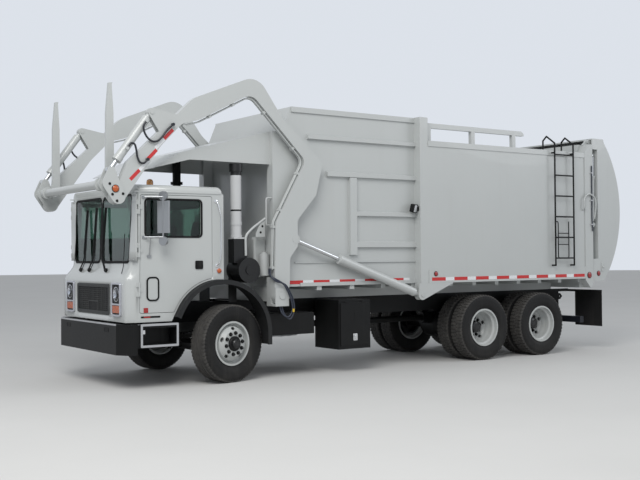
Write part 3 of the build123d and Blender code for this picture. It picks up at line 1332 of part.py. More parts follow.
with BuildPart() as rear_frame:
    for beam_z in ((3400, REAR_TOP_Z), (1100, FLOOR_Z + FLOOR_SHEET)):
        block((-REAR_COLUMN_X[0] - 1, REAR_COLUMN_X[0] + 1), (REAR_COLUMN, REAR_COLUMN_BACK), beam_z)
    block((-1000, 1000), (REAR_COLUMN_BACK - 90, REAR_COLUMN_BACK), UNDERRIDE_Z)
    for side in (-1, 1):
        column_x = sorted((side * REAR_COLUMN_X[0], side * REAR_COLUMN_X[1]))
        column = [
            (REAR_COLUMN, 1230),
            (REAR_COLUMN + 120, 1100),
            (REAR_COLUMN_BACK, 1160),
            (REAR_COLUMN_BACK, REAR_TOP_Z),
            (REAR_COLUMN + 90, REAR_TOP_Z),
            (REAR_COLUMN, REAR_TOP_Z - 150),
        ]
        panel(side_plane(column_x[0]), column, column_x[1] - column_x[0])
        lug_x = sorted((side * HINGE_LUG_X[0], side * HINGE_LUG_X[1]))
        with BuildSketch(side_plane(lug_x[0])) as lug:
            with Locations(TAILGATE_HINGE):
                Circle(HINGE_LUG_RADIUS)
            with Locations((REAR_COLUMN_BACK - 70, REAR_TOP_Z - 5)):
                Rectangle(120, 10)
            make_hull()
        extrude(lug.sketch, amount=lug_x[1] - lug_x[0])
        cross_bar((side * 1090, side * 1140), TAILGATE_HINGE, TAILGATE_PIN_RADIUS + PIN_GAP, Mode.SUBTRACT)
        for near in (-TAILGATE_EYE_HALF - PIN_GAP - 14, TAILGATE_EYE_HALF + PIN_GAP):
            ear_start = TAILGATE_CYLINDER_X + near
            ear_x = sorted((side * ear_start, side * (ear_start + 14)))
            with BuildSketch(side_plane(ear_x[0])) as ear:
                with Locations(TAILGATE_BASE_PIN):
                    Circle(36)
                with Locations((REAR_COLUMN_BACK - 5, TAILGATE_BASE_PIN[1] - 20)):
                    Rectangle(10, 110)
                make_hull()
            extrude(ear.sketch, amount=14)
        pin_x = (TAILGATE_CYLINDER_X - 40, TAILGATE_CYLINDER_X + 40)
        cross_bar((side * pin_x[0], side * pin_x[1]), TAILGATE_BASE_PIN, 18)
        hanger_x = sorted((side * (RAIL_HALF - 60), side * RAIL_HALF))
        hanger_z = (UNDERRIDE_Z[1] - 1, RAIL_TOP_Z - RAIL_HEIGHT)
        block(hanger_x, (REAR_COLUMN_BACK - 90, REAR_COLUMN_BACK), hanger_z)
save("rear_frame", rear_frame)


# Tailgate: a hollow shell, bulged at the back, hinged at the top and cut back for its cylinders
TAILGATE_SHEET = 25.0
RECESS_Z = (1600.0, 3520.0)  # its top leaves room for the rod's eye in mid swing
HINGE_SETBACK = TAILGATE_FRONT - TAILGATE_HINGE[0]
HINGE_NOTCH_RADIUS = hypot(HINGE_SETBACK, TAILGATE_TOP_Z - TAILGATE_HINGE_Z) + SWING_GAP
RECESS_BACK = TAILGATE_FRONT + 130.0


def tailgate_profile(shrink):
    """Side outline of the tailgate, drawn in by a sheet's thickness everywhere but at the front."""
    front = TAILGATE_FRONT - (1 if shrink else 0)
    low = TAILGATE_BOTTOM_Z + shrink
    high = TAILGATE_TOP_Z - shrink
    foot = TAILGATE_FRONT + 280 - shrink
    head = TAILGATE_FRONT + 290 - shrink
    with BuildSketch(side_plane(0)) as profile:
        with BuildLine():
            Polyline((foot, low), (front, low), (front, high), (head, high), (head + 20, high - 60))
            ThreePointArc((head + 20, high - 60), (TAIL_REACH - shrink, 2450), (foot, low))
        make_face()
    return profile.sketch


with BuildPart() as tailgate:
    extrude(tailgate_profile(0), amount=BODY_HALF, both=True)
    hollow_half = BODY_HALF - TAILGATE_SHEET
    extrude(tailgate_profile(TAILGATE_SHEET), amount=hollow_half, both=True, mode=Mode.SUBTRACT)
    for side in (-1, 1):
        jamb_x = sorted((side * (HOPPER_HALF - TAILGATE_SHEET), side * (BODY_HALF - 1)))
        jamb_z = (RECESS_Z[0] - TAILGATE_SHEET, RECESS_Z[1] + TAILGATE_SHEET)
        block(jamb_x, (TAILGATE_FRONT, RECESS_BACK + TAILGATE_SHEET), jamb_z)
        recess_x = sorted((side * HOPPER_HALF, side * (BODY_HALF + 10)))
        block(recess_x, (TAILGATE_FRONT - 10, RECESS_BACK), RECESS_Z, Mode.SUBTRACT)
        rod_x = side * TAILGATE_CYLINDER_X
        ear_gap = TAILGATE_EYE_HALF + PIN_GAP
        near = sorted((rod_x - side * ear_gap, rod_x - side * (ear_gap + 16)))
        with BuildSketch(side_plane(near[0])) as ear:
            with Locations(TAILGATE_ROD_PIN):
                Circle(32)
            with Locations((TAILGATE_ROD_PIN[0], RECESS_Z[1] + 3)):
                Rectangle(80, 8)
            make_hull()
        extrude(ear.sketch, amount=near[1] - near[0])
        hinge_start = HINGE_LUG_X[0] - 32
        hinge_end = HINGE_LUG_X[1] + 32
        for start, end in ((hinge_start, HINGE_LUG_X[0] - PIN_GAP), (HINGE_LUG_X[1] + PIN_GAP, hinge_end)):
            lug_x = sorted((side * start, side * end))
            with BuildSketch(side_plane(lug_x[0])) as lug:
                with Locations(TAILGATE_HINGE):
                    Circle(HINGE_LUG_RADIUS)
                with Locations((TAILGATE_FRONT + 60, TAILGATE_TOP_Z - 50)):
                    Rectangle(100, 100)
                make_hull()
            extrude(lug.sketch, amount=lug_x[1] - lug_x[0])
        slot = (side * (HINGE_LUG_X[0] - PIN_GAP), side * (HINGE_LUG_X[1] + PIN_GAP))
        cross_bar(slot, TAILGATE_HINGE, HINGE_NOTCH_RADIUS, Mode.SUBTRACT)
        cross_bar((side * hinge_start, side * hinge_end), TAILGATE_HINGE, TAILGATE_PIN_RADIUS)
save("tailgate", tailgate)


# Hydraulic cylinders: each barrel turns on its foot, and its rod slides out towards an eye
def cylinder_barrel(x, foot, head, length, shoulder, radius, eye_radius, eye_half, pin_radius, rod_radius):
    """Barrel with an eye on its foot pin, a gland at its open end, and a bore for the rod."""
    cross_bar((x - eye_half, x + eye_half), foot, eye_radius)
    bar(at(x, between(foot, head, eye_radius / 2)), at(x, between(foot, head, shoulder + 5)), eye_half - 1)
    bar(at(x, between(foot, head, shoulder)), at(x, between(foot, head, length - 40)), radius)
    bar(at(x, between(foot, head, length - 60)), at(x, between(foot, head, length)), radius + 6)
    bore_start = at(x, between(foot, head, shoulder + 20))
    bar(bore_start, at(x, between(foot, head, length + 1)), rod_radius + PIN_GAP, Mode.SUBTRACT)
    cross_bar((x - eye_half - 1, x + eye_half + 1), foot, pin_radius + PIN_GAP, Mode.SUBTRACT)


def cylinder_rod(x, foot, head, length, radius, eye_radius, eye_half):
    """Rod of this length with an eye round the head pin."""
    bar(at(x, head), at(x, between(head, foot, length)), radius)
    cross_bar((x - eye_half, x + eye_half), head, eye_radius)


FORK_PORTS = (150.0, 600.0)  # from the base pin along the barrel
PORT_RADIUS = 20.0
HOSE_X = 1258.0
HOSE_RADIUS = 13.0
LIFT_ROD_LENGTH = 1400.0
FORK_ROD_LENGTH = 560.0
TAILGATE_BARREL_LENGTH = 860.0
TAILGATE_ROD_LENGTH = 1080.0
SLIM_EYE = EYE_HALF_WIDTH - PIN_GAP

with BuildPart() as lift_cylinder_barrels:
    for x in (-ARM_X, ARM_X):
        cylinder_barrel(
            x,
            LIFT_BASE_PIN,
            LIFT_ROD_PIN,
            LIFT_BARREL_LENGTH,
            140,
            LIFT_BARREL_RADIUS - 6,
            62,
            SLIM_EYE,
            CYLINDER_PIN_RADIUS,
            LIFT_ROD_RADIUS,
        )
save("lift_cylinder_barrels", lift_cylinder_barrels)

with BuildPart() as lift_cylinder_rods:
    for x in (-ARM_X, ARM_X):
        cylinder_rod(x, LIFT_BASE_PIN, LIFT_ROD_PIN, LIFT_ROD_LENGTH, LIFT_ROD_RADIUS, 58, SLIM_EYE)
save("lift_cylinder_rods", lift_cylinder_rods)

with BuildPart() as fork_cylinder_barrels:
    for x in (-ARM_X, ARM_X):
        cylinder_barrel(
            x,
            FORK_CYLINDER_PIN,
            FORK_ROD_PIN,
            FORK_BARREL_LENGTH,
            92,
            FORK_BARREL_RADIUS - 6,
            54,
            SLIM_EYE,
            CYLINDER_PIN_RADIUS,
            FORK_ROD_RADIUS,
        )
        for along in FORK_PORTS:
            port = between(FORK_CYLINDER_PIN, FORK_ROD_PIN, along)
            port_x = (ARM_X + FORK_BARREL_RADIUS - 16, HOSE_X + PORT_RADIUS - 4)
            cross_bar([port_end * x / ARM_X for port_end in port_x], port, PORT_RADIUS)
save("fork_cylinder_barrels", fork_cylinder_barrels)

with BuildPart() as fork_cylinder_rods:
    for x in (-ARM_X, ARM_X):
        cylinder_rod(x, FORK_CYLINDER_PIN, FORK_ROD_PIN, FORK_ROD_LENGTH, FORK_ROD_RADIUS, 42, SLIM_EYE)
save("fork_cylinder_rods", fork_cylinder_rods)

with BuildPart() as tailgate_cylinder_barrels:
    for x in (-TAILGATE_CYLINDER_X, TAILGATE_CYLINDER_X):
        cylinder_barrel(
            x,
            TAILGATE_BASE_PIN,
            TAILGATE_ROD_PIN,
            TAILGATE_BARREL_LENGTH,
            70,
            34,
            34,
            TAILGATE_EYE_HALF,
            18,
            20,
        )
save("tailgate_cylinder_barrels", tailgate_cylinder_barrels)

with BuildPart() as tailgate_cylinder_rods:
    for x in (-TAILGATE_CYLINDER_X, TAILGATE_CYLINDER_X):
        cylinder_rod(x, TAILGATE_BASE_PIN, TAILGATE_ROD_PIN, TAILGATE_ROD_LENGTH, 20, 30, TAILGATE_EYE_HALF)
save("tailgate_cylinder_rods", tailgate_cylinder_rods)


# Lift arms: goosenecks from the pivot up beside the hopper, over the cab and down to the forks
ARM_EYE_RADIUS = 112.0
ARM_OUTLINE = (
    # (distance behind the front axle, height, bend radius)
    (668, 1140, 5),
    (692, 1926, 500),
    (700, 2150, 150),
    (1198, 3022, 110),
    (326, 3892, 170),
    (-476, 3479, 300),
    (-728, 3412, 160),
    (-1028, 3109, 500),
    (-1546, 2389, 20),
    (-1620, 2444, 5),
    (-1644, 2533, 20),
    (-1488, 2884, 100),
    (-553, 3760, 350),
    (416, 4150, 263),
    (815, 3599, 300),
    (1492, 3010, 90),
    (1372, 2545, 90),
    (1056, 2190, 120),
    (1056, 1826, 20),
    (927, 1662, 80),
    (918, 1319, 300),
    (892, 1140, 5),
)
ARM_SLOT = [(710, 1560), (716, 1930), (724, 2160), (800, 2275), (1300, 2330), (1300, 1560)]
EAR_PLATE = 16.0


def arm_face():
    """Lift arm in side view, without the eyes at its pins."""
    corners = [(distance, height) for distance, height, bend in ARM_OUTLINE]
    bends = [bend for distance, height, bend in ARM_OUTLINE]
    with BuildSketch() as face:
        with BuildLine():
            FilletPolyline(*corners, radius=bends, close=True)
        make_face()
    return face.sketch


with BuildPart() as lift_arms:
    for x in (-ARM_X, ARM_X):
        with BuildSketch(side_plane(x - ARM_WIDTH / 2)) as arm:
            add(arm_face())
            with Locations(ARM_PIVOT):
                Circle(ARM_EYE_RADIUS)
            with Locations(FORK_PIVOT):
                Circle(HEAD_RADIUS)
            with Locations(LIFT_ROD_PIN):
                Circle(72)
            with Locations(ARM_PIVOT):
                Circle(ARM_PIN_RADIUS + PIN_GAP, mode=Mode.SUBTRACT)
            with Locations(FORK_PIVOT):
                Circle(CYLINDER_PIN_RADIUS + PIN_GAP, mode=Mode.SUBTRACT)
        extrude(arm.sketch, amount=ARM_WIDTH)
        panel(side_plane(x - EYE_WIDTH / 2), ARM_SLOT, EYE_WIDTH, mode=Mode.SUBTRACT)
        for face, way in ((x - ARM_WIDTH / 2, -1), (x + ARM_WIDTH / 2, 1)):
            cross_bar((face, face + way * 4), LIFT_ROD_PIN, 52)
        for near in (x - EYE_HALF_WIDTH - EAR_PLATE, x + EYE_HALF_WIDTH):
            with BuildSketch(side_plane(near)) as ear:
                with Locations(FORK_CYLINDER_PIN):
                    Circle(52)
                with Locations((-1010, 3265)):
                    Circle(20)
                with Locations((-760, 3500)):
                    Circle(20)
                make_hull()
            extrude(ear.sketch, amount=EAR_PLATE)
        ear_pin_x = (x - EYE_HALF_WIDTH - 22, x + EYE_HALF_WIDTH + 22)
        cross_bar(ear_pin_x, FORK_CYLINDER_PIN, CYLINDER_PIN_RADIUS)
save("lift_arms", lift_arms)


# Hydraulic lines: two tubes clamped along each arm's inner edge, and two hoses to each fork cylinder
TUBE_RADIUS = 10.0
TUBE_GAP = 24.0  # arm's edge to the tubes' middle
TUBE_SPREAD = 16.0
TUBE_PATH = (
    # (distance behind the front axle, height, bend radius)
    (655, 1500, 0),
    (677, 2158, 150),
    (1168, 3018, 130),
    (321, 3862, 146),
    (-465, 3457, 300),
    (-700, 3394, 0),
)
TUBE_CLAMPS = ((0, 0.05), (0, 0.9), (1, 0.2), (1, 0.8), (2, 0.2), (2, 0.75), (3, 0.35), (3, 0.8), (4, 0.95))
HOSE_A = [
    between(FORK_CYLINDER_PIN, FORK_ROD_PIN, FORK_PORTS[0] + PORT_RADIUS + PIN_GAP),
    between(FORK_CYLINDER_PIN, FORK_ROD_PIN, FORK_PORTS[0] + 80),
    (-1275, 3270),
    (-1230, 3195),
    (-1160, 3150),
    (-1085, 3160),
    (-1020, 3225),
    (-960, 3310),
    (-880, 3380),
]
HOSE_B = [
    between(FORK_CYLINDER_PIN, FORK_ROD_PIN, FORK_PORTS[1] - PORT_RADIUS - PIN_GAP),
    between(FORK_CYLINDER_PIN, FORK_ROD_PIN, FORK_PORTS[1] - 90),
    (-1400, 3110),
    (-1378, 3030),
    (-1370, 2950),
    (-1335, 2880),
    (-1280, 2866),
    (-1236, 2912),
]


def hose_bends(points):
    """Largest radius that fits at each corner of a hose, from its shorter neighbouring run."""
    radii = []
    for before, corner, after in zip(points, points[1:], points[2:]):
        run_in = (corner[0] - before[0], corner[1] - before[1])
        run_out = (after[0] - corner[0], after[1] - corner[1])
        turn = abs(atan2(run_out[1], run_out[0]) - atan2(run_in[1], run_in[0]))
        turn = min(turn, 2 * pi - turn)
        radii.append(0.45 * min(hypot(*run_in), hypot(*run_out)) / tan(turn / 2))
    return radii


def tube(x, points, bends, radius):
    """Round tube at this X along (distance, height) places, with a bend at each inner corner."""
    with BuildLine(side_plane(x)) as path:
        FilletPolyline(*points, radius=bends)
    with BuildSketch(Plane(origin=path.line @ 0, z_dir=path.line % 0)) as section:
        Circle(radius)
    sweep(section.sketch, path=path.line)


with BuildPart() as arm_hoses:
    places = [(distance, height) for distance, height, bend in TUBE_PATH]
    bends = [bend for distance, height, bend in TUBE_PATH[1:-1]]
    for side in (-1, 1):
        for offset in (-TUBE_SPREAD, TUBE_SPREAD):
            tube(side * ARM_X + offset, places, bends, TUBE_RADIUS)
        for index, share in TUBE_CLAMPS:
            start, end = places[index], places[index + 1]
            run = hypot(end[0] - start[0], end[1] - start[1])
            middle = between(start, end, share * run)
            slope = atan2(end[1] - start[1], end[0] - start[0])
            with BuildSketch(side_plane(side * ARM_X - 34)) as clamp:
                with Locations(Location((*middle, 0), (0, 0, degrees(slope)))):
                    with Locations((0, -(TUBE_GAP - TUBE_RADIUS - 6) / 2)):
                        Rectangle(36, TUBE_GAP + TUBE_RADIUS + 6)
                add(arm_face(), mode=Mode.SUBTRACT)
            extrude(clamp.sketch, amount=68)
        for hose in (HOSE_A, HOSE_B):
            tube(side * HOSE_X, hose, hose_bends(hose), HOSE_RADIUS)
            fitting = between(hose[-1], hose[-2], -PORT_RADIUS + 4)
            fitting_x = [side * ARM_OUTER_X, side * (HOSE_X + PORT_RADIUS - 4)]
            cross_bar(fitting_x, fitting, PORT_RADIUS)
save("arm_hoses", arm_hoses)


# Fork frame: a cross shaft with crank plates on both sides of each arm's tip, and two forks
CRANK_PLATE = 20.0
CRANK_INNER = (ARM_INNER_X - SWING_GAP - CRANK_PLATE, ARM_INNER_X - SWING_GAP)
CRANK_OUTER = (ARM_OUTER_X + SWING_GAP, ARM_OUTER_X + SWING_GAP + CRANK_PLATE)
SHAFT = (SHAFT_SETBACK, SHAFT_Z)
FORK_FRONT = -1668.0
FORK_BACK = FORK_FRONT + FORK_DEPTH

with BuildPart() as fork_frame:
    cross_bar((-CRANK_OUTER[1], CRANK_OUTER[1]), SHAFT, SHAFT_RADIUS)
    for side in (-1, 1):
        for start, end in (CRANK_INNER, CRANK_OUTER):
            plate_x = sorted((side * start, side * end))
            with BuildSketch(side_plane(plate_x[0])) as crank:
                with Locations(FORK_ROD_PIN):
                    Circle(46)
                with Locations(SHAFT):
                    Circle(HEAD_RADIUS)
                with Locations(FORK_PIVOT):
                    Circle(HEAD_RADIUS)
                make_hull()
            extrude(crank.sketch, amount=CRANK_PLATE)
        cross_bar((side * CRANK_INNER[0], side * CRANK_OUTER[1]), FORK_PIVOT, CYLINDER_PIN_RADIUS)
        for start, end in (
            (CRANK_INNER[1] - 1, ARM_X - EYE_HALF_WIDTH),
            (ARM_X + EYE_HALF_WIDTH, CRANK_OUTER[0] + 1),
        ):
            cross_bar((side * start, side * end), FORK_ROD_PIN, 36)
        fork_x = side * FORK_X - FORK_THICKNESS / 2
        blade = [
            (FORK_FRONT - 20, SHAFT_Z + 20),
            (FORK_FRONT, SHAFT_Z + 160),
            (FORK_FRONT + 6, FORK_TIP_Z - 380),
            (FORK_FRONT + 40, FORK_TIP_Z),
            (FORK_BACK - 20, FORK_TIP_Z + 8),
            (FORK_BACK - 28, FORK_TIP_Z - 22),
            (FORK_BACK - 6, FORK_TIP_Z - 380),
            (FORK_BACK, SHAFT_Z + 160),
            (FORK_BACK, SHAFT_Z - 10),
            (FORK_FRONT, SHAFT_Z - 80),
        ]
        panel(side_plane(fork_x), blade, FORK_THICKNESS)
        cross_bar((fork_x, fork_x + FORK_THICKNESS), SHAFT, HEAD_RADIUS - 8)
save("fork_frame", fork_frame)


# Canopy: a hood from the front columns forward over the cab, open below
CANOPY_HALF = 1000.0
CANOPY_SIDE = [
    (-1050, 2840),
    (-630, 3070),
    (COLUMN_SETBACK, COLUMN_TOP_Z),
    (COLUMN_SETBACK, 2970),
    (-500, 2980),
]

with BuildPart() as canopy:
    for side in (-1, 1):
        side_x = sorted((side * (CANOPY_HALF - BODY_SHEET), side * CANOPY_HALF))
        panel(side_plane(side_x[0]), CANOPY_SIDE, BODY_SHEET)
    sheet = [
        (-1050, 2840),
        (-630, 3070),
        (COLUMN_SETBACK, COLUMN_TOP_Z),
        (COLUMN_SETBACK, COLUMN_TOP_Z - 13),
        (-627, 3057),
        (-1022, 2841),
    ]
    panel(side_plane(-CANOPY_HALF), sheet, 2 * CANOPY_HALF)
save("canopy", canopy)


# Air intake on the driver's side: a drum cleaner, a box over it and a tall stack
STACK_Y = 240.0
INTAKE_X = 930.0
DRUM = (350.0, 1500.0)

with BuildPart() as air_cleaner:
    block((RAIL_HALF - 50, 830), (STACK_Y - 60, STACK_Y + 60), (RAIL_TOP_Z, RAIL_TOP_Z + 20))
    block((810, 830), (STACK_Y - 60, STACK_Y + 60), (RAIL_TOP_Z, DRUM[1]))
    cross_bar((760, 1100), DRUM, 170)
    cross_bar((740, 1112), DRUM, 60)
    block((850, 1010), (STACK_Y - 80, STACK_Y + 120), (DRUM[1] + 100, 1950))
    bar(at(INTAKE_X, (STACK_Y, 1940)), at(INTAKE_X, (STACK_Y, 2960)), 75)
    for low, high, radius in ((1950, 1985, 84), (2120, 2160, 82), (2850, 2960, 92)):
        bar(at(INTAKE_X, (STACK_Y, low)), at(INTAKE_X, (STACK_Y, high)), radius)
save("air_cleaner", air_cleaner)


# Exhaust on the other side: an upright silencer on a bracket, and a pipe up under the canopy
EXHAUST_X = -900.0
EXHAUST_Y = 260.0
PLATFORM_Z = 1410.0

with BuildPart() as exhaust_stack:
    foot_y = (EXHAUST_Y - 60, EXHAUST_Y + 60)
    block((-840, -RAIL_HALF + 50), foot_y, (RAIL_TOP_Z, RAIL_TOP_Z + 20))
    block((-840, -820), foot_y, (RAIL_TOP_Z, PLATFORM_Z))
    block((-1010, -800), (EXHAUST_Y - 100, EXHAUST_Y + 100), (PLATFORM_Z, PLATFORM_Z + 20))
    bar(at(EXHAUST_X, (EXHAUST_Y, PLATFORM_Z)), at(EXHAUST_X, (EXHAUST_Y, 2350)), 105)
    bar(at(EXHAUST_X, (EXHAUST_Y, 2350)), at(EXHAUST_X, (EXHAUST_Y, 3140)), 62)
    for low, high, radius in ((1440, 1470, 112), (2300, 2330, 112), (2350, 2390, 80), (2790, 2830, 92)):
        bar(at(EXHAUST_X, (EXHAUST_Y, low)), at(EXHAUST_X, (EXHAUST_Y, high)), radius)
    bar(at(EXHAUST_X, (EXHAUST_Y, 3060)), at(EXHAUST_X, (EXHAUST_Y, 3141)), 52, Mode.SUBTRACT)
save("exhaust_stack", exhaust_stack)


# Hydraulic tank on the bulkhead, with the filter canister beside it
TANK_FRONT = 545.0

with BuildPart() as hydraulic_tank:
    with BuildSketch(top_plane(1400)):
        with Locations((745, (TANK_FRONT + COLUMN_SETBACK - PIN_GAP) / 2)):
            RectangleRounded(300, COLUMN_SETBACK - PIN_GAP - TANK_FRONT, 30)
    extrude(amount=520)
    bar(at(975, (662, 1420)), at(975, (662, 1720)), 72)
    bar(at(975, (662, 1720)), at(975, (662, 1750)), 40)
    block((880, 975), (640, 690), (1560, 1640))
    bar(at(745, (640, 1920)), at(745, (640, 1960)), 45)
save("hydraulic_tank", hydraulic_tank)


# Tool boxes on the driver's side: a battery box behind the front wheel and a tall box
BATTERY_BOX = ((550.0, 1100.0), (675.0, 1410.0), (590.0, 890.0))
TOOL_BOX = ((600.0, 1200.0), (1770.0, 2340.0), (340.0, 1050.0))

with BuildPart() as tool_boxes:
    for box_x, box_y, box_z in (BATTERY_BOX, TOOL_BOX):
        block(box_x, box_y, box_z)
        middle = (box_y[0] + box_y[1]) / 2
        for hanger in (middle - 180, middle + 180):
            hanger_y = (hanger - 30, hanger + 30)
            block((RAIL_HALF, box_x[0] + 1), hanger_y, (RAIL_MID_Z - 120, RAIL_MID_Z - 40))
    lid_y = (TOOL_BOX[1][0] + 30, TOOL_BOX[1][1] - 30)
    block((1199, 1206), lid_y, (TOOL_BOX[2][0] + 30, TOOL_BOX[2][1] - 40))
    block((1205, 1218), (2040, 2070), (760, 880))
save("tool_boxes", tool_boxes)


# Fuel tank on the other side: a round tank in straps, on two brackets
FUEL_RADIUS = 300.0
FUEL_X = -755.0
FUEL_Z = 700.0
FUEL_REACH = (1000.0, 2300.0)

with BuildPart() as fuel_tank:
    bar(at(FUEL_X, (FUEL_REACH[0], FUEL_Z)), at(FUEL_X, (FUEL_REACH[1], FUEL_Z)), FUEL_RADIUS)
    fillet(fuel_tank.edges().filter_by(GeomType.CIRCLE), radius=25)
    for middle in (FUEL_REACH[0] + 280, FUEL_REACH[1] - 280):
        bar(at(FUEL_X, (middle - 35, FUEL_Z)), at(FUEL_X, (middle + 35, FUEL_Z)), FUEL_RADIUS + 6)
        shoe_z = (RAIL_MID_Z - 130, RAIL_MID_Z + 60)
        block((-RAIL_HALF - 60, -RAIL_HALF), (middle - 45, middle + 45), shoe_z)
    bar(at(FUEL_X - 120, (1500, FUEL_Z + 240)), at(FUEL_X - 120, (1500, FUEL_Z + 320)), 45)
save("fuel_tank", fuel_tank)


# Ladder on the storage wall, with a hoop over the roof's edge
LADDER_Y = (6220.0, 6680.0)
LADDER_X = 1300.0
LADDER_TUBE = 14.0
LADDER_Z = (1500.0, 3560.0)
RUNGS = 6

with BuildPart() as ladder:
    wall_x = BODY_HALF
    for rail_y in LADDER_Y:
        pipe(
            [
                (wall_x, aft(rail_y), LADDER_Z[0]),
                (LADDER_X, aft(rail_y), LADDER_Z[0]),
                (LADDER_X, aft(rail_y), LADDER_Z[1]),
                (1120, aft(rail_y), LADDER_Z[1] + 130),
                (1040, aft(rail_y), LADDER_Z[1] + 60),
                (1040, aft(rail_y), STORAGE_TOP_Z),
            ],
            LADDER_TUBE,
        )
        bar((wall_x + RAIL_PROUD, aft(rail_y), 3400), (LADDER_X, aft(rail_y), 3400), LADDER_TUBE)
    first, last = LADDER_Z[0] + 120, LADDER_Z[1] - 190
    for index in range(RUNGS):
        height = first + (last - first) * index / (RUNGS - 1)
        bar((LADDER_X, aft(LADDER_Y[0]), height), (LADDER_X, aft(LADDER_Y[1]), height), LADDER_TUBE - 1)
save("ladder", ladder)


# Mud flaps behind the last wheels, hung from a bar on brackets bolted to the frame's end
FLAP_Y = REAR_COLUMN_BACK + 245.0
FLAP_Z = (410.0, 1050.0)
FLAP_X = (600.0, 1200.0)

with BuildPart() as mud_flaps:
    for side in (-1, 1):
        arm_x = sorted((side * (RAIL_HALF - 45), side * RAIL_HALF))
        block(arm_x, (FRAME_BACK, FLAP_Y + 12), (RAIL_TOP_Z - 50, RAIL_TOP_Z))
        bar_x = sorted((side * (RAIL_HALF - 10), side * FLAP_X[1]))
        block(bar_x, (FLAP_Y - 14, FLAP_Y + 12), (RAIL_TOP_Z - 50, RAIL_TOP_Z - 10))
        flap_x = sorted((side * FLAP_X[0], side * FLAP_X[1]))
        block(flap_x, (FLAP_Y, FLAP_Y + 10), FLAP_Z)
save("mud_flaps", mud_flaps)
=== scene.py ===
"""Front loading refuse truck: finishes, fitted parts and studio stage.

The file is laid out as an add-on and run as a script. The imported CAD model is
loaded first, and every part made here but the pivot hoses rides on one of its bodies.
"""

import math

import bmesh
import bpy
from bpy.props import FloatProperty, FloatVectorProperty, IntProperty, PointerProperty
from mathutils import Matrix, Vector
from mathutils.bvhtree import BVHTree


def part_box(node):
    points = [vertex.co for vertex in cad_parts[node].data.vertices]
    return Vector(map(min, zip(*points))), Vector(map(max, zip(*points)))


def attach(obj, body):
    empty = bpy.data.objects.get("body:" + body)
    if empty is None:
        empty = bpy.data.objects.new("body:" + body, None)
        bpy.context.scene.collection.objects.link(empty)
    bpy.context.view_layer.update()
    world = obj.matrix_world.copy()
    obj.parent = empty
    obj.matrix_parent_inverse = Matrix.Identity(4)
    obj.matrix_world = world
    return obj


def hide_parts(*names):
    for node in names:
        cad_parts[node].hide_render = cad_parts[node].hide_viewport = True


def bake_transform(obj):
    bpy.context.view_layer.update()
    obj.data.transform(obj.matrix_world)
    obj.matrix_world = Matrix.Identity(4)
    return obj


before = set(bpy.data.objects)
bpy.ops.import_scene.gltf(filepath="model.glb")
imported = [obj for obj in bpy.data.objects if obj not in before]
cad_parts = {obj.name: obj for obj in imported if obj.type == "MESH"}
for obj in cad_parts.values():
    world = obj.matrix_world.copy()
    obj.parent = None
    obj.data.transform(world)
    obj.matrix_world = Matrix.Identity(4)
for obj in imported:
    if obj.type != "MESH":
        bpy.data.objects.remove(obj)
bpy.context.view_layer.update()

bl_info = {
    "name": "Refuse truck finisher",
    "version": (1, 0, 0),
    "blender": (4, 5, 0),
    "location": "3D View > Sidebar > Refuse truck",
    "description": "Paints, fits out and stages a front loading refuse truck",
    "category": "Object",
}

PI = math.pi


def middle(node):
    """Centre of a CAD node's box."""
    low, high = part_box(node)
    return (Vector(low) + Vector(high)) / 2


# Places are given as metres behind the front axle, across and up
AXLE_Y = (middle("left_front_tyre").y + middle("right_front_tyre").y) / 2
CAB_FRONT = -1.45
SCREEN_FOOT_Z = 1.57
SCREEN_LEAN = math.atan2(0.065, 0.95)
STEER = math.radians(11.0)
# Distance from the middle from which a look at the side starts
OUTSIDE = 2.0


def at(x, back, z):
    """Point from its place across, behind the front axle and above the ground."""
    return Vector((x, AXLE_Y + back, z))


def on_screen(x, up, out):
    """Point on the windscreen's plane: across, up the glass and out from it."""
    lean = SCREEN_LEAN
    back = CAB_FRONT + up * math.sin(lean) - out * math.cos(lean)
    return at(x, back, SCREEN_FOOT_Z + up * math.cos(lean) + out * math.sin(lean))


SKINS = {}


def first_hit(node, start, direction):
    """Point where a ray first meets a CAD node, or None."""
    if node not in SKINS:
        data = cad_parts[node].data
        corners = [v.co.copy() for v in data.vertices]
        SKINS[node] = BVHTree.FromPolygons(corners, [tuple(p.vertices) for p in data.polygons])
    return SKINS[node].ray_cast(Vector(start), Vector(direction))[0]


def touch(node, start, direction):
    """Point where a ray first meets a CAD node, which it has to meet."""
    place = first_hit(node, start, direction)
    if place is None:
        raise RuntimeError(f"no surface of {node} from {tuple(start)}")
    return place


def side_skin(node, back, z, side=1):
    """Point on a node's outer skin, seen from the truck's side."""
    return touch(node, at(side * OUTSIDE, back, z), (-side, 0, 0))


# Settings shown in the sidebar
def colour(name, description, value):
    """Colour setting with its name, description and default."""
    return FloatVectorProperty(
        name=name, description=description, subtype="COLOR", size=3, min=0, max=1, default=value
    )


def length(name, description, value):
    """Length setting in metres."""
    return FloatProperty(
        name=name, description=description, default=value, min=0, subtype="DISTANCE", unit="LENGTH"
    )


class TruckColours(bpy.types.PropertyGroup):
    """Colours of the finishes."""

    white: colour("Body white", "Enamel on the cab, body and arms", (0.465, 0.485, 0.482))
    black: colour("Chassis black", "Satin paint on frame, bumper and boxes", (0.005, 0.0053, 0.0056))
    rubber: colour("Rubber", "Tyres, gaskets and flaps", (0.01, 0.01, 0.0104))
    dust: colour("Road dust", "Dust on the treads and low panels", (0.3, 0.28, 0.25))
    amber: colour("Amber lens", "Turn and marker lamps", (0.85, 0.16, 0.015))
    red: colour("Red lens", "Tail lamps, reflectors and tape", (0.55, 0.02, 0.02))
    glass: colour("Window tint", "Green tint of the panes", (0.24, 0.37, 0.31))
    cloth: colour("Cushion cloth", "Woven cloth of the cushions", (0.07, 0.075, 0.085))


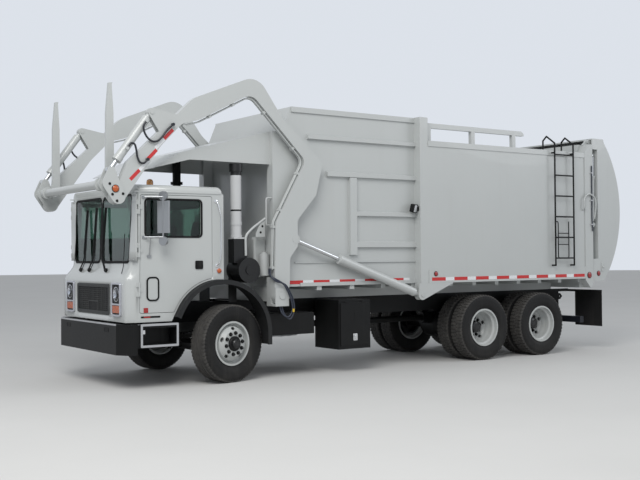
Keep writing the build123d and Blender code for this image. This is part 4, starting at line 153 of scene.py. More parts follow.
class TruckSizes(bpy.types.PropertyGroup):
    """Sizes of the fitted parts."""

    gasket: length("Gasket width", "Rubber round each windscreen pane", 0.04)
    tape: length("Tape width", "Striped reflective tape", 0.052)
    tread: length("Tread depth", "Depth of the tyres' grooves", 0.014)
    blade: length("Wiper blade", "Length of a wiper's rubber", 0.62)
    lugs: IntProperty(name="Tread lugs", description="Blocks round a drive tyre", default=56, min=12)


class TruckStage(bpy.types.PropertyGroup):
    """Studio round the truck."""

    floor: length("Floor radius", "Radius of the pale floor", 90.0)
    light: FloatProperty(name="Sky level", description="Strength of the soft sky", default=0.56, min=0)
    key: FloatProperty(name="Key level", description="Strength of the key light", default=1.0, min=0)


# Node tree helpers
def add(tree, kind, links=None, **settings):
    """Node of one kind, with its settings, and its inputs set or linked."""
    node = tree.nodes.new(kind)
    for name, value in settings.items():
        setattr(node, name, value)
    for name, value in (links or {}).items():
        if isinstance(value, bpy.types.NodeSocket):
            tree.links.new(value, node.inputs[name])
        else:
            node.inputs[name].default_value = value
    return node


def maths(tree, operation, first, second=0.0, third=0.0, clamp=False):
    """Output of one math node."""
    links = {0: first, 1: second, 2: third}
    return add(tree, "ShaderNodeMath", links, operation=operation, use_clamp=clamp).outputs[0]


def blend(tree, factor, first, second):
    """Colour output of a colour mix."""
    return add(tree, "ShaderNodeMix", {0: factor, 6: first, 7: second}, data_type="RGBA").outputs[2]


def ramp(tree, value, low, high):
    """Value stretched so that low is 0 and high is 1."""
    links = {"Value": value, "From Min": low, "From Max": high}
    return add(tree, "ShaderNodeMapRange", links, clamp=True).outputs[0]


def noise(tree, vector, scale, detail, roughness=0.55):
    """Value of a noise texture."""
    links = {"Vector": vector, "Scale": scale, "Detail": detail, "Roughness": roughness}
    return add(tree, "ShaderNodeTexNoise", links).outputs["Fac"]


def stretched(tree, vector, scale):
    """Coordinates scaled along each axis."""
    links = {"Vector": vector, "Scale": scale}
    return add(tree, "ShaderNodeMapping", links, vector_type="POINT").outputs[0]


def object_place(tree):
    """Coordinates fixed to the object."""
    return add(tree, "ShaderNodeTexCoord").outputs["Object"]


def new_group(name, inputs, outputs):
    """Empty shader group with named sockets."""
    tree = bpy.data.node_groups.new(name, "ShaderNodeTree")
    kinds = {"colour": "NodeSocketColor", "value": "NodeSocketFloat", "vector": "NodeSocketVector"}
    for label, kind, value in inputs:
        socket = tree.interface.new_socket(name=label, in_out="INPUT", socket_type=kinds[kind])
        if value is not None:
            socket.default_value = value
    for label, kind in outputs:
        tree.interface.new_socket(name=label, in_out="OUTPUT", socket_type=kinds[kind])
    return tree, tree.nodes.new("NodeGroupInput").outputs, tree.nodes.new("NodeGroupOutput").inputs


def weather_group():
    """Broad tone changes, rain streaks and dust that gathers low down."""
    tree, given, result = new_group(
        "Weathering",
        [
            ("Colour", "colour", (0.6, 0.6, 0.6, 1)),
            ("Dust", "colour", (0.3, 0.28, 0.25, 1)),
            ("Dust top", "value", 1.2),
            ("Dust amount", "value", 0.3),
            ("Streaks", "value", 0.1),
            ("Roughness", "value", 0.35),
            ("Mottle", "value", 0.05),
        ],
        [("Colour", "colour"), ("Roughness", "value"), ("Height", "value"), ("Mask", "value")],
    )
    place = object_place(tree)
    broad = noise(tree, place, 1.7, 4)
    fine = noise(tree, place, 38, 3)
    runs = ramp(tree, noise(tree, stretched(tree, place, (9, 9, 0.55)), 1.0, 4), 0.55, 0.8)
    height = add(tree, "ShaderNodeSeparateXYZ", {0: place}).outputs["Z"]
    low = ramp(tree, height, given["Dust top"], 0.0)
    patchy = maths(tree, "MULTIPLY", low, ramp(tree, noise(tree, place, 5.5, 5), 0.25, 0.75))
    dusty = maths(tree, "MULTIPLY", patchy, given["Dust amount"])
    streaky = maths(tree, "MULTIPLY", runs, given["Streaks"])
    mask = maths(tree, "ADD", dusty, streaky, clamp=True)
    shade = maths(tree, "MULTIPLY_ADD", maths(tree, "SUBTRACT", broad, 0.5), given["Mottle"], 1.0)
    tone = add(tree, "ShaderNodeVectorMath", {0: given["Colour"], "Scale": shade}, operation="SCALE")
    tree.links.new(blend(tree, mask, tone.outputs[0], given["Dust"]), result["Colour"])
    dull = maths(tree, "MULTIPLY_ADD", mask, 0.35, given["Roughness"])
    grainy = maths(tree, "MULTIPLY_ADD", maths(tree, "SUBTRACT", fine, 0.5), 0.1, dull, clamp=True)
    tree.links.new(grainy, result["Roughness"])
    tree.links.new(fine, result["Height"])
    tree.links.new(mask, result["Mask"])
    return tree


def grain_group():
    """Fine moulded grain with pits, as on rubber and plastic."""
    tree, given, result = new_group("Grain", [("Scale", "value", 400.0)], [("Height", "value")])
    place = object_place(tree)
    cells = add(tree, "ShaderNodeTexVoronoi", {"Vector": place, "Scale": given["Scale"]})
    height = maths(tree, "MULTIPLY_ADD", noise(tree, place, 160, 2), 0.5, cells.outputs["Distance"])
    tree.links.new(height, result["Height"])
    return tree


def weave_group():
    """Crossed threads for woven cloth."""
    tree, given, result = new_group("Weave", [("Scale", "value", 260.0)], [("Height", "value")])
    place = object_place(tree)
    threads = []
    for direction in ("X", "Y", "Z"):
        links = {"Vector": place, "Scale": given["Scale"], "Distortion": 0.6}
        threads.append(add(tree, "ShaderNodeTexWave", links, bands_direction=direction).outputs["Fac"])
    crossed = maths(tree, "ADD", maths(tree, "MAXIMUM", threads[0], threads[1]), threads[2])
    tree.links.new(crossed, result["Height"])
    return tree


def brushed_group():
    """Long fine scratches along one axis, as on drawn or brushed metal."""
    tree, given, result = new_group(
        "Brushed", [("Scale", "vector", (4.0, 300.0, 300.0))], [("Height", "value")]
    )
    place = stretched(tree, object_place(tree), given["Scale"])
    tree.links.new(noise(tree, place, 1.0, 3, 0.7), result["Height"])
    return tree


GROUPS = {}


def group_node(tree, name, links):
    """Outputs of a shared group placed in a material."""
    makers = {
        "Weathering": weather_group,
        "Grain": grain_group,
        "Weave": weave_group,
        "Brushed": brushed_group,
    }
    if name not in GROUPS:
        GROUPS[name] = makers[name]()
    return add(tree, "ShaderNodeGroup", links, node_tree=GROUPS[name]).outputs


# Materials
FINISHES = {}
PRISM_SCALE = 140.0
PRISM_RELIEF = 0.35
HUB_RADIUS = 0.108
DRUM_RADIUS = 0.2065
# Where white gives way to black: across on the arm piping, up on the rear frame and the air stack
PIPE_OUTER_FACE = 1.228
REAR_FRAME_FOOT = 1.075
STACK_DRUM_TOP = 1.93
STACK_CAP_FOOT = 2.8
STACK_BAND, STACK_BAND_HALF = 2.32, 0.012


def rgba(value, level=1.0):
    """Colour at a level of brightness, with full alpha."""
    return (value[0] * level, value[1] * level, value[2] * level, 1.0)


def inside(material):
    """A material's node tree and its Principled shader."""
    tree = material.node_tree
    return tree, next(n for n in tree.nodes if n.type == "BSDF_PRINCIPLED")


def paint(tree, surface, tone):
    """Feeds the shader's base colour."""
    tree.links.new(tone, surface.inputs["Base Color"])


def paint_over(tree, surface, factor, tone):
    """Mixes a tone over what feeds the shader's base colour."""
    under = surface.inputs["Base Color"].links[0].from_socket
    paint(tree, surface, blend(tree, factor, under, tone))


def start_material(name, **shader):
    """Material with one Principled shader, whose own sockets take the constants."""
    material = bpy.data.materials.new(name)
    material.use_nodes = True
    tree, surface = inside(material)
    for label, value in shader.items():
        surface.inputs[label.replace("_", " ")].default_value = value
    return material, tree, surface


def bump(tree, surface, height, strength, distance):
    """Bump from a height that feeds the shader's normal."""
    links = {"Height": height, "Strength": strength, "Distance": distance}
    tree.links.new(add(tree, "ShaderNodeBump", links).outputs[0], surface.inputs["Normal"])


def coated(name, base, rough, dust, top, streaks, mottle, peel=0.05, **shader):
    """Painted or plastic finish with weathering."""
    material, tree, surface = start_material(name, **shader)
    settings = bpy.context.scene.truck_colours
    given = {
        "Colour": rgba(base),
        "Dust": rgba(settings.dust),
        "Dust top": top,
        "Dust amount": dust,
        "Streaks": streaks,
        "Roughness": rough,
        "Mottle": mottle,
    }
    weather = group_node(tree, "Weathering", given)
    paint(tree, surface, weather["Colour"])
    tree.links.new(weather["Roughness"], surface.inputs["Roughness"])
    bump(tree, surface, weather["Height"], peel, 0.002)
    return material


def textured(material, group, scale, strength, distance):
    """Weathered material with a shared group's height as its bump."""
    tree, surface = inside(material)
    bump(tree, surface, group_node(tree, group, {"Scale": scale})["Height"], strength, distance)
    return material


def grained(name, base, rough, scale, depth, dust, top=1.2, **shader):
    """Moulded plastic or rubber: weathering with a fine grain."""
    material = coated(name, base, rough, dust, top, 0.05, 0.12, **shader)
    return textured(material, "Grain", scale, depth, 0.0015)


def metal(name, base, rough, scratch=(4.0, 300.0, 300.0), depth=0.08, dust=0.1):
    """Bare or plated metal with fine scratches."""
    material = coated(name, base, rough, dust, 1.2, 0.03, 0.08, Metallic=1.0)
    return textured(material, "Brushed", scratch, depth, 0.001)


def lens(name, base):
    """Moulded lens with a prism pattern under a glossy skin."""
    material, tree, surface = start_material(
        name, Roughness=0.12, Coat_Weight=0.6, Coat_Roughness=0.04, IOR=1.49
    )
    place = object_place(tree)
    links = {"Vector": place, "Scale": PRISM_SCALE, "Distortion": 0.2}
    waves = [add(tree, "ShaderNodeTexWave", links, bands_direction=way) for way in ("X", "Z")]
    prisms = maths(tree, "MULTIPLY", *(wave.outputs["Fac"] for wave in waves))
    paint(tree, surface, blend(tree, prisms, rgba(base, 0.35), rgba(base)))
    bump(tree, surface, prisms, PRISM_RELIEF, 0.002)
    return material


def window_glass(name, tint, rough=0.03):
    """Tinted pane with a faint film of dust."""
    material, tree, surface = start_material(name, Transmission_Weight=1.0, IOR=1.45, Metallic=0.0)
    film = noise(tree, object_place(tree), 9, 4)
    paint(tree, surface, blend(tree, film, rgba(tint, 0.9), rgba(tint)))
    tree.links.new(maths(tree, "MULTIPLY_ADD", film, 0.05, rough), surface.inputs["Roughness"])
    return material


def wheel_place(tree, node, centre):
    """Coordinates in a wheel: outboard along X, round the axle in Y and Z."""
    turn = STEER if "front" in node else 0.0
    links = {"Vector": object_place(tree), "Location": centre, "Rotation": (0, 0, turn)}
    local = add(tree, "ShaderNodeMapping", links, vector_type="TEXTURE").outputs[0]
    parts = add(tree, "ShaderNodeSeparateXYZ", {0: local}).outputs
    squares = maths(tree, "ADD", maths(tree, "POWER", parts["Y"], 2), maths(tree, "POWER", parts["Z"], 2))
    side = -1.0 if node.startswith("right") else 1.0
    return maths(tree, "MULTIPLY", parts["X"], side), maths(tree, "SQRT", squares)


def wheel_enamel(name, node, centre, hub_face, drum_face):
    """White wheel enamel that turns to black on the hub and the brake drum."""
    colours = bpy.context.scene.truck_colours
    material = coated(name, colours.white, 0.3, 0.35, 1.1, 0.0, 0.12, Coat_Weight=0.15)
    tree, surface = inside(material)
    outboard, radius = wheel_place(tree, node, centre)
    parts = []
    faces = (("GREATER_THAN", hub_face, HUB_RADIUS), ("LESS_THAN", drum_face, DRUM_RADIUS))
    for test, face, reach in faces:
        beyond, within = maths(tree, test, outboard, face), maths(tree, "LESS_THAN", radius, reach)
        parts.append(maths(tree, "MULTIPLY", beyond, within))
    paint_over(tree, surface, maths(tree, "MAXIMUM", *parts), rgba(colours.black, 1.6))
    return material


def tread_rubber():
    """Tread faces, pale with road dust."""
    colours = bpy.context.scene.truck_colours
    material = grained("Tread rubber", [c * 1.5 for c in colours.rubber], 0.8, 220.0, 0.5, 0.0, 1.0)
    tree, surface = inside(material)
    worn = ramp(tree, noise(tree, object_place(tree), 14, 5), 0.25, 0.8)
    paint_over(tree, surface, maths(tree, "MULTIPLY_ADD", worn, 0.14, 0.05), rgba(colours.dust))
    return material


def striped_tape():
    """Red and white reflective film with a honeycomb pattern."""
    made = []
    colours = bpy.context.scene.truck_colours
    for name, base in (("Red tape", colours.red), ("White tape", (0.78, 0.8, 0.82))):
        material, tree, surface = start_material(name, Roughness=0.25, Coat_Weight=0.5)
        links = {"Vector": object_place(tree), "Scale": 260.0}
        cells = add(tree, "ShaderNodeTexVoronoi", links, feature="DISTANCE_TO_EDGE").outputs[0]
        edge = ramp(tree, cells, 0.02, 0.1)
        paint(tree, surface, blend(tree, edge, rgba(base, 0.75), rgba(base)))
        bump(tree, surface, edge, 0.15, 0.0005)
        made.append(material)
    return made


def cushion_cloth():
    """Woven cloth of the cushions."""
    base = bpy.context.scene.truck_colours.cloth
    material = coated("Cushion cloth", base, 0.9, 0.0, 1.0, 0.0, 0.25, Sheen_Weight=0.35)
    return textured(material, "Weave", 240.0, 0.35, 0.001)


def two_tone(name, axis, test, level):
    """White enamel, black where a distance from the middle passes a level."""
    colours = bpy.context.scene.truck_colours
    material = coated(name, colours.white, 0.35, 0.05, 1.6, 0.03, 0.05)
    tree, surface = inside(material)
    place = add(tree, "ShaderNodeSeparateXYZ", {0: object_place(tree)}).outputs[axis]
    dark = maths(tree, test, maths(tree, "ABSOLUTE", place), level)
    paint_over(tree, surface, dark, (0.012, 0.014, 0.02, 1))
    return material


def air_stack():
    """Air intake: black drum below, silver stack with a black band and a black cap above."""
    material = coated("Air stack", (0.5, 0.51, 0.52), 0.35, 0.15, 1.2, 0.1, 0.1)
    tree, surface = inside(material)
    height = add(tree, "ShaderNodeSeparateXYZ", {0: object_place(tree)}).outputs["Z"]
    drum = maths(tree, "LESS_THAN", height, STACK_DRUM_TOP)
    cap = maths(tree, "GREATER_THAN", height, STACK_CAP_FOOT)
    band = maths(tree, "COMPARE", height, STACK_BAND, STACK_BAND_HALF)
    dark = maths(tree, "MAXIMUM", maths(tree, "MAXIMUM", drum, cap), band)
    paint_over(tree, surface, dark, rgba(bpy.context.scene.truck_colours.black))
    return material


def finish(name):
    """A finish by its plain name, made once."""
    if name in FINISHES:
        return FINISHES[name]
    c = bpy.context.scene.truck_colours
    dark = tuple(c.black)
    plastic, fender, gasket = ([part * level for part in dark] for level in (1.5, 3.6, 0.9))
    mould, zinc, iron = (0.04, 0.042, 0.043), (0.4, 0.41, 0.43), (0.05, 0.055, 0.06)
    matt = {"Specular_IOR_Level": 0.22}
    makers = {
        "white": lambda: coated("White enamel", c.white, 0.3, 0.1, 1.6, 0.05, 0.05, Coat_Weight=0.25),
        "cab white": lambda: coated("Cab enamel", c.white, 0.24, 0.08, 1.5, 0.03, 0.04, Coat_Weight=0.4),
        "black": lambda: coated("Chassis black", dark, 0.45, 0.02, 1.1, 0.02, 0.3, 0.12, **matt),
        "plastic": lambda: grained("Black plastic", plastic, 0.5, 500.0, 0.2, 0.03, **matt),
        "fender": lambda: grained("Fender rubber", fender, 0.5, 300.0, 0.25, 0.06, 1.5, **matt),
        "grille": lambda: grained("Grille plastic", mould, 0.5, 500.0, 0.2, 0.05, 1.4, **matt),
        "rubber": lambda: grained("Gasket rubber and hole shade", gasket, 0.55, 700.0, 0.15, 0.01, **matt),
        "side wall": lambda: grained("Side wall rubber", c.rubber, 0.65, 300.0, 0.3, 0.05, 1.1, **matt),
        "flap": lambda: grained("Flap rubber", c.rubber, 0.65, 260.0, 0.3, 0.04, 1.1, **matt),
        "hose": lambda: grained("Hose rubber", (0.02, 0.026, 0.044), 0.42, 600.0, 0.2, 0.1),
        "chrome": lambda: metal("Chrome", (0.72, 0.73, 0.74), 0.12),
        "rod": lambda: metal("Hard chrome rod", (0.6, 0.61, 0.62), 0.18, (260.0, 6.0, 6.0), 0.04),
        "mirror": lambda: metal("Mirror shell", (0.4, 0.41, 0.42), 0.3, (45.0, 45.0, 1.5), 0.1),
        "aluminium": lambda: metal("Brushed tank", (0.52, 0.53, 0.54), 0.32, (180.0, 4.0, 180.0), 0.12),
        "zinc": lambda: coated("Zinc plate", zinc, 0.38, 0.1, 1.2, 0.05, 0.2, 0.1, Metallic=0.1),
        "white pipe": lambda: two_tone("Arm piping", "X", "GREATER_THAN", PIPE_OUTER_FACE),
        "rear white": lambda: two_tone("Rear frame enamel", "Z", "LESS_THAN", REAR_FRAME_FOOT),
        "iron": lambda: coated("Cast iron", iron, 0.6, 0.4, 1.6, 0.1, 0.4, 0.5, Metallic=0.3),
        "packer": lambda: metal("Worn steel", (0.2, 0.19, 0.18), 0.5, (12.0, 12.0, 160.0), 0.4, 0.5),
        "bezel": lambda: coated("Lamp bezel", (0.56, 0.57, 0.62), 0.25, 0.05, 1.4, 0.0, 0.05, Metallic=0.6),
        "amber": lambda: lens("Amber lens", c.amber),
        "beacon": lambda: lens("Beacon lens", (1.0, 0.4, 0.05)),
        "red": lambda: lens("Red lens", c.red),
        "clear": lambda: window_glass("Lamp glass", (0.85, 0.87, 0.9), 0.02),
        "silver": lambda: metal("Lamp reflector", (0.78, 0.79, 0.82), 0.1, (40.0, 40.0, 40.0), 0.1),
        "glass": lambda: window_glass("Window glass", c.glass),
        "yellow": lambda: coated("Yellow tag", (0.62, 0.42, 0.02), 0.5, 0.1, 1.3, 0.0, 0.1),
        "cloth": cushion_cloth,
        "tread": tread_rubber,
        "air stack": air_stack,
    }
    FINISHES[name] = makers[name]()
    return FINISHES[name]


# Mesh helpers
# Slot names by a piece's first finish, which fit looks up but no step gives to the piece; the finishes of the
# lamps all go with lamp_glass
SLOTS = {
    "rubber": "black_plastic",
    "plastic": "black_plastic",
    "grille": "black_plastic",
    "zinc": "rod_chrome",
    "chrome": "rod_chrome",
    "white": "white_paint",
    "cab white": "white_paint",
    "white pipe": "white_paint",
    "black": "black_paint",
    "hose": "hose_rubber",
    "yellow": "hose_rubber",
    "cloth": "seat_fabric",
    "side wall": "tyre",
}
EDGE_ANGLE = 35


def place_object(name, data, body, finishes, smooth):
    """Object in the scene with its finishes, riding on a body."""
    piece = bpy.data.objects.new(name, data)
    bpy.context.scene.collection.objects.link(piece)
    for kind in finishes:
        data.materials.append(finish(kind) if isinstance(kind, str) else kind)
    if isinstance(data, bpy.types.Mesh) and smooth:
        data.shade_smooth()
        data.set_sharp_from_angle(angle=math.radians(smooth))
    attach(piece, body)
    return piece


def from_bmesh(name, mesh, body, slot, finishes, bevel=0.0, smooth=EDGE_ANGLE):
    """Object from a bmesh, with its normals out and its edges rounded."""
    bmesh.ops.recalc_face_normals(mesh, faces=mesh.faces)
    data = bpy.data.meshes.new(name)
    mesh.to_mesh(data)
    mesh.free()
    piece = place_object(name, data, body, finishes, smooth)
    if bevel:
        rounding = piece.modifiers.new("Rounded edges", "BEVEL")
        rounding.width = bevel
        rounding.segments = 2
        rounding.limit_method = "ANGLE"
        rounding.angle_limit = math.radians(EDGE_ANGLE)
        rounding.harden_normals = True
    return piece


def fit(name, finishes, *shapes, bevel=0.0, smooth=EDGE_ANGLE, body="truck", slot=None):
    """Piece made of shapes, each a list of points, of faces and of the faces' finish numbers."""
    mesh = bmesh.new()
    for points, faces, numbers in shapes:
        verts = [mesh.verts.new(point) for point in points]
        for face, number in zip(faces, numbers):
            mesh.faces.new([verts[i] for i in face]).material_index = number
    if isinstance(finishes, str):
        finishes = (finishes,)
    slot = slot or SLOTS.get(finishes[0], "lamp_glass")
    return from_bmesh(name, mesh, body, slot, finishes, bevel, smooth)


def rounded(width, height, corner, steps=6):
    """Points of a rounded oblong about its centre."""
    points = []
    for index, (sx, sy) in enumerate(((1, 1), (-1, 1), (-1, -1), (1, -1))):
        middle_x = sx * (width / 2 - corner)
        middle_y = sy * (height / 2 - corner)
        for step in range(steps + 1):
            angle = PI / 2 * (index + step / steps)
            points.append((middle_x + corner * math.cos(angle), middle_y + corner * math.sin(angle)))
    return points


def oblong(width, height):
    """Corners of a plain oblong about its centre."""
    x, y = width / 2, height / 2
    return [(-x, -y), (x, -y), (x, y), (-x, y)]


def frame_axes(origin, right, up):
    """Matrix that lays flat outlines on a plane."""
    right = Vector(right).normalized()
    out = right.cross(Vector(up)).normalized()
    up = out.cross(right)
    turn = Matrix((right, up, out)).transposed().to_4x4()
    return Matrix.Translation(Vector(origin)) @ turn


def front_axes(origin):
    """Axes on a face that looks forward."""
    return frame_axes(origin, (1, 0, 0), (0, 0, 1))


def top_axes(origin):
    """Axes on a face that looks up."""
    return frame_axes(origin, (1, 0, 0), (0, 1, 0))


def side_axes(origin, side):
    """Axes on a side wall, with their normal outward."""
    return frame_axes(origin, (0, side, 0), (0, 0, 1))


def wall_axes(node, back, z, side):
    """Axes on a node's outer skin, seen from the truck's side."""
    return side_axes(side_skin(node, back, z, side), side)


def moved(axes, x, y, z=0):
    """Axes shifted along themselves."""
    return axes @ Matrix.Translation((x, y, z))


def laid(axes, outline, height):
    """Points of an outline at a height over its plane."""
    return [axes @ Vector((x, y, height)) for x, y in outline]


def joined(rings, number=0, closed=False, capped=False):
    """Shape with faces between rings that have as many points."""
    count, total = len(rings[0]), len(rings)
    last = count * (total - 1)
    faces = [range(count)[::-1], range(last, last + count)] if capped else []
    for k in range(total if closed else total - 1):
        first, second = k * count, (k + 1) % total * count
        for i in range(count):
            j = (i + 1) % count
            faces.append((first + i, first + j, second + j, second + i))
    return sum(rings, []), faces, [number] * len(faces)


def slab(axes, outline, low, high, number=0):
    """Solid between two heights over an outline."""
    return joined([laid(axes, outline, low), laid(axes, outline, high)], number, capped=True)


def border(axes, outer, inner, low, high, number=0):
    """Solid band between an outer and an inner outline with as many points."""
    rings = ((outer, low), (outer, high), (inner, high), (inner, low))
    return joined([laid(axes, outline, height) for outline, height in rings], number, closed=True)


def circle(radius, steps, start=0.0):
    """Points round a circle, from a part of the first step on."""
    angles = [2 * PI * (step + start) / steps for step in range(steps)]
    return [(radius * math.cos(angle), radius * math.sin(angle)) for angle in angles]


def lathe(axes, profile, steps=24, number=0):
    """Solid turned about the plane's normal from (radius, height) points."""
    points, rings = [], []
    for radius, height in profile:
        wide = radius > 1e-6
        rings.append((len(points), wide))
        points += laid(axes, circle(radius, steps) if wide else [(0, 0)], height)
    faces = []
    for (first, first_wide), (second, second_wide) in zip(rings, rings[1:]):
        for i in range(steps):
            j = (i + 1) % steps
            corners = [first + i, first + j] if first_wide else [first]
            corners += [second + j, second + i] if second_wide else [second]
            if len(corners) > 2:
                faces.append(corners)
    return points, faces, [number] * len(faces)


def bolt(axes, radius, height):
    """Hexagon head on a round washer, as two shapes."""
    rim, washer = radius * 1.35, height * 0.2
    head = [(0, 0), (radius, 0), (radius, height * 0.85), (radius * 0.8, height), (0, height)]
    return lathe(axes, [(0, 0), (rim, 0), (rim, washer), (0, washer)], 16), lathe(axes, head, 6)


def bend_point(start, corner, end, t):
    """Point on the curve that rounds a corner."""
    return start * (1 - t) ** 2 + corner * 2 * t * (1 - t) + end * t ** 2


def tube(name, points, radius, kind, bend=0.0, body="truck"):
    """Round tube through points, with its corners rounded to a bend radius."""
    points = [Vector(p) for p in points]
    path = [points[0]]
    for before, point, after in zip(points, points[1:], points[2:]):
        back, ahead = before - point, after - point
        cut = min(bend, back.length * 0.48, ahead.length * 0.48)
        start, end = point + back.normalized() * cut, point + ahead.normalized() * cut
        path += [bend_point(start, point, end, step / 5) for step in range(6)]
    path.append(points[-1])
    curve = bpy.data.curves.new(name, "CURVE")
    curve.dimensions = "3D"
    curve.bevel_depth = radius
    curve.bevel_resolution = 3
    curve.use_fill_caps = True
    spline = curve.splines.new("POLY")
    spline.points.add(len(path) - 1)
    for target, point in zip(spline.points, path):
        target.co = (*point, 1.0)
    spline.use_smooth = True
    return place_object(name, curve, body, [kind], 0)


PIVOT_HOSE_RADIUS = 0.0115
PIVOT_HOSE_BEND = 0.09


def bent_hose(name, points, bodies):
    """Hose with rounded bends between two bodies, as a plain mesh with a ring at each step; it rides on
    neither body.
    """
    curve = tube(f"{name}_line", points, PIVOT_HOSE_RADIUS, "hose", PIVOT_HOSE_BEND, bodies[1])
    bpy.context.view_layer.update()
    data = bpy.data.meshes.new_from_object(curve.evaluated_get(bpy.context.evaluated_depsgraph_get()))
    line = curve.data
    bpy.data.objects.remove(curve)
    bpy.data.curves.remove(line)
    piece = bpy.data.objects.new(name, data)
    bpy.context.scene.collection.objects.link(piece)
    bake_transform(piece)


SIDES = (("right", -1), ("left", 1))


def wheels():
    """Name, side, whether it steers, tyre node and body of each wheel or pair of wheels."""
    for name, side in reversed(SIDES):
        for axle, ending in (("front", ""), ("second", "s"), ("rear", "s")):
            wheel = f"{name}_{axle}"
            yield wheel, side, axle == "front", f"{wheel}_tyre{ending}", f"{wheel}_wheel{ending}"


class PartMaker(bpy.types.Operator):
    """Shared options of the operators that make parts"""

    bl_options = {"REGISTER", "UNDO"}


# Finishes of the CAD nodes; tyres, seats and head lamps are replaced and get none
NODE_FINISHES = {
    "rear white": "rear_frame",
    "white": "body_floor canopy hopper_body storage_body tailgate top_door front_frame mid_frame "
    "lift_arms fork_frame lift_cylinder_barrels fork_cylinder_barrels "
    "tailgate_cylinder_barrels hydraulic_tank",
    "cab white": "cab_shell cab_roof left_door right_door",
    "black": "chassis_frame front_axle drive_axles front_bumper exhaust_stack ladder left_knuckle "
    "right_knuckle tie_rod tool_boxes",
    "plastic": "dashboard",
    "fender": "front_fenders",
    "grille": "front_grille",
    "flap": "mud_flaps",
    "white pipe": "arm_hoses",
    "glass": "cab_glass left_door_glass right_door_glass",
    "mirror": "left_mirror right_mirror",
    "rod": "lift_cylinder_rods fork_cylinder_rods tailgate_cylinder_rods",
    "iron": "engine",
    "aluminium": "fuel_tank",
    "packer": "packer_panel",
    "air stack": "air_cleaner",
}
# Outboard places of the hub's face and of the brake drum's face
FRONT_FACES = (0.155, 0.05)
DUAL_FACES = (0.0155, -0.095)


class TRUCK_OT_finishes(PartMaker):
    """Give each CAD node its finish"""

    bl_idname = "truck.finishes"
    bl_label = "Finishes"

    def execute(self, context):
        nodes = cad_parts
        done = {"cab_seats", "headlights"}
        for kind, names in NODE_FINISHES.items():
            for name in names.split():
                self.paint(nodes[name], finish(kind))
                done.add(name)
        for name, node in nodes.items():
            if name.endswith(("_rim", "_rims")):
                centre = middle(name.replace("_rim", "_tyre"))
                faces = FRONT_FACES if "front" in name else DUAL_FACES
                self.paint(node, wheel_enamel(f"{name} enamel", name, centre, *faces))
                done.add(name)
        left = {name for name in set(nodes) - done if not name.endswith(("_tyre", "_tyres"))}
        if left:
            raise RuntimeError(f"nodes with no finish: {sorted(left)}")
        return {"FINISHED"}

    @staticmethod
    def paint(node, material):
        """Puts a finish on each of a node's slots."""
        for slot in node.material_slots:
            slot.material = material


# Stage
LAMP_AIM = Vector((0, 0, 1.5))


class TRUCK_OT_stage(PartMaker):
    """Set up the floor, the soft studio light and the camera"""

    bl_idname = "truck.stage"
    bl_label = "Stage"

    def execute(self, context):
        scene = context.scene
        settings = scene.truck_stage
        scene.view_settings.view_transform = "Standard"
        self.floor(settings.floor)
        self.sky(scene, settings.light)
        self.lamp("Key light", (9.0, -10.0, 12.0), 9.0, 1500 * settings.key, (1.0, 0.985, 0.96))
        self.lamp("Rear fill", (10.0, 12.0, 9.0), 10.0, 500 * settings.key, (0.95, 0.97, 1.0))
        self.camera(scene)
        return {"FINISHED"}

    @staticmethod
    def floor(radius):
        """Pale round floor with a faint change of tone."""
        mesh = bmesh.new()
        bmesh.ops.create_circle(mesh, cap_ends=True, segments=96, radius=radius)
        data = bpy.data.meshes.new("Studio floor")
        mesh.to_mesh(data)
        mesh.free()
        floor = bpy.data.objects.new("Studio_floor", data)
        bpy.context.scene.collection.objects.link(floor)
        material, tree, surface = start_material("Studio floor", Roughness=0.85)
        tone = noise(tree, object_place(tree), 0.4, 5)
        mixed = blend(tree, tone, (0.56, 0.56, 0.55, 1), (0.62, 0.62, 0.61, 1))
        tree.links.new(mixed, surface.inputs["Base Color"])
        data.materials.append(material)

    @staticmethod
    def sky(scene, level):
        """Soft sky, with a paler tone where it is seen or mirrored."""
        world = bpy.data.worlds.new("Studio sky")
        scene.world = world
        world.use_nodes = True
        tree = world.node_tree
        tree.nodes.clear()
        path = add(tree, "ShaderNodeLightPath").outputs
        seen = maths(tree, "MAXIMUM", path["Is Camera Ray"], path["Is Glossy Ray"])
        seen = maths(tree, "MAXIMUM", seen, path["Is Transmission Ray"])
        light = add(tree, "ShaderNodeBackground", {"Color": (0.93, 0.96, 1, 1), "Strength": level})
        pale = add(tree, "ShaderNodeBackground", {"Color": (0.72, 0.76, 0.82, 1), "Strength": 1.0})
        mixed = add(tree, "ShaderNodeMixShader", {0: seen, 1: light.outputs[0], 2: pale.outputs[0]})
        add(tree, "ShaderNodeOutputWorld", {"Surface": mixed.outputs[0]})

    @staticmethod
    def lamp(name, place, size, power, tint):
        """Round area lamp that looks at the truck."""
        data = bpy.data.lights.new(name, "AREA")
        data.shape = "DISK"
        data.size = size
        data.energy = power
        data.color = tint
        lamp = bpy.data.objects.new(name, data)
        lamp.location = place
        aim = LAMP_AIM - Vector(place)
        lamp.rotation_euler = aim.to_track_quat("-Z", "Y").to_euler()
        bpy.context.scene.collection.objects.link(lamp)

    @staticmethod
    def camera(scene):
        """Camera of the photo, as fitted to the truck's corners."""
        data = bpy.data.cameras.new("Photo view")
        data.sensor_width = 36.0
        data.lens = 56.04
        data.clip_end = 400
        camera = bpy.data.objects.new("Photo view", data)
        camera.location = (12.7984, -9.7073, 1.6888)
        camera.rotation_euler = [math.radians(a) for a in (90.912, 0.445, 55.156)]
        scene.collection.objects.link(camera)
        scene.camera = camera


# Tyres and wheels, with half widths across and radii round the axle
BEAD = 0.108
SHOULDER = 0.5005
SHOULDER_STEP = 0.017
WALL_STEPS = 9
RIB = 0.0022
TYRE_RADIUS = 0.5225
FRONT_HALF, FRONT_LUGS = 0.155, 64
DUAL_HALF = 0.14
DUAL_TYRES = (0.735, 1.06)
NUT_CIRCLE = 0.1425
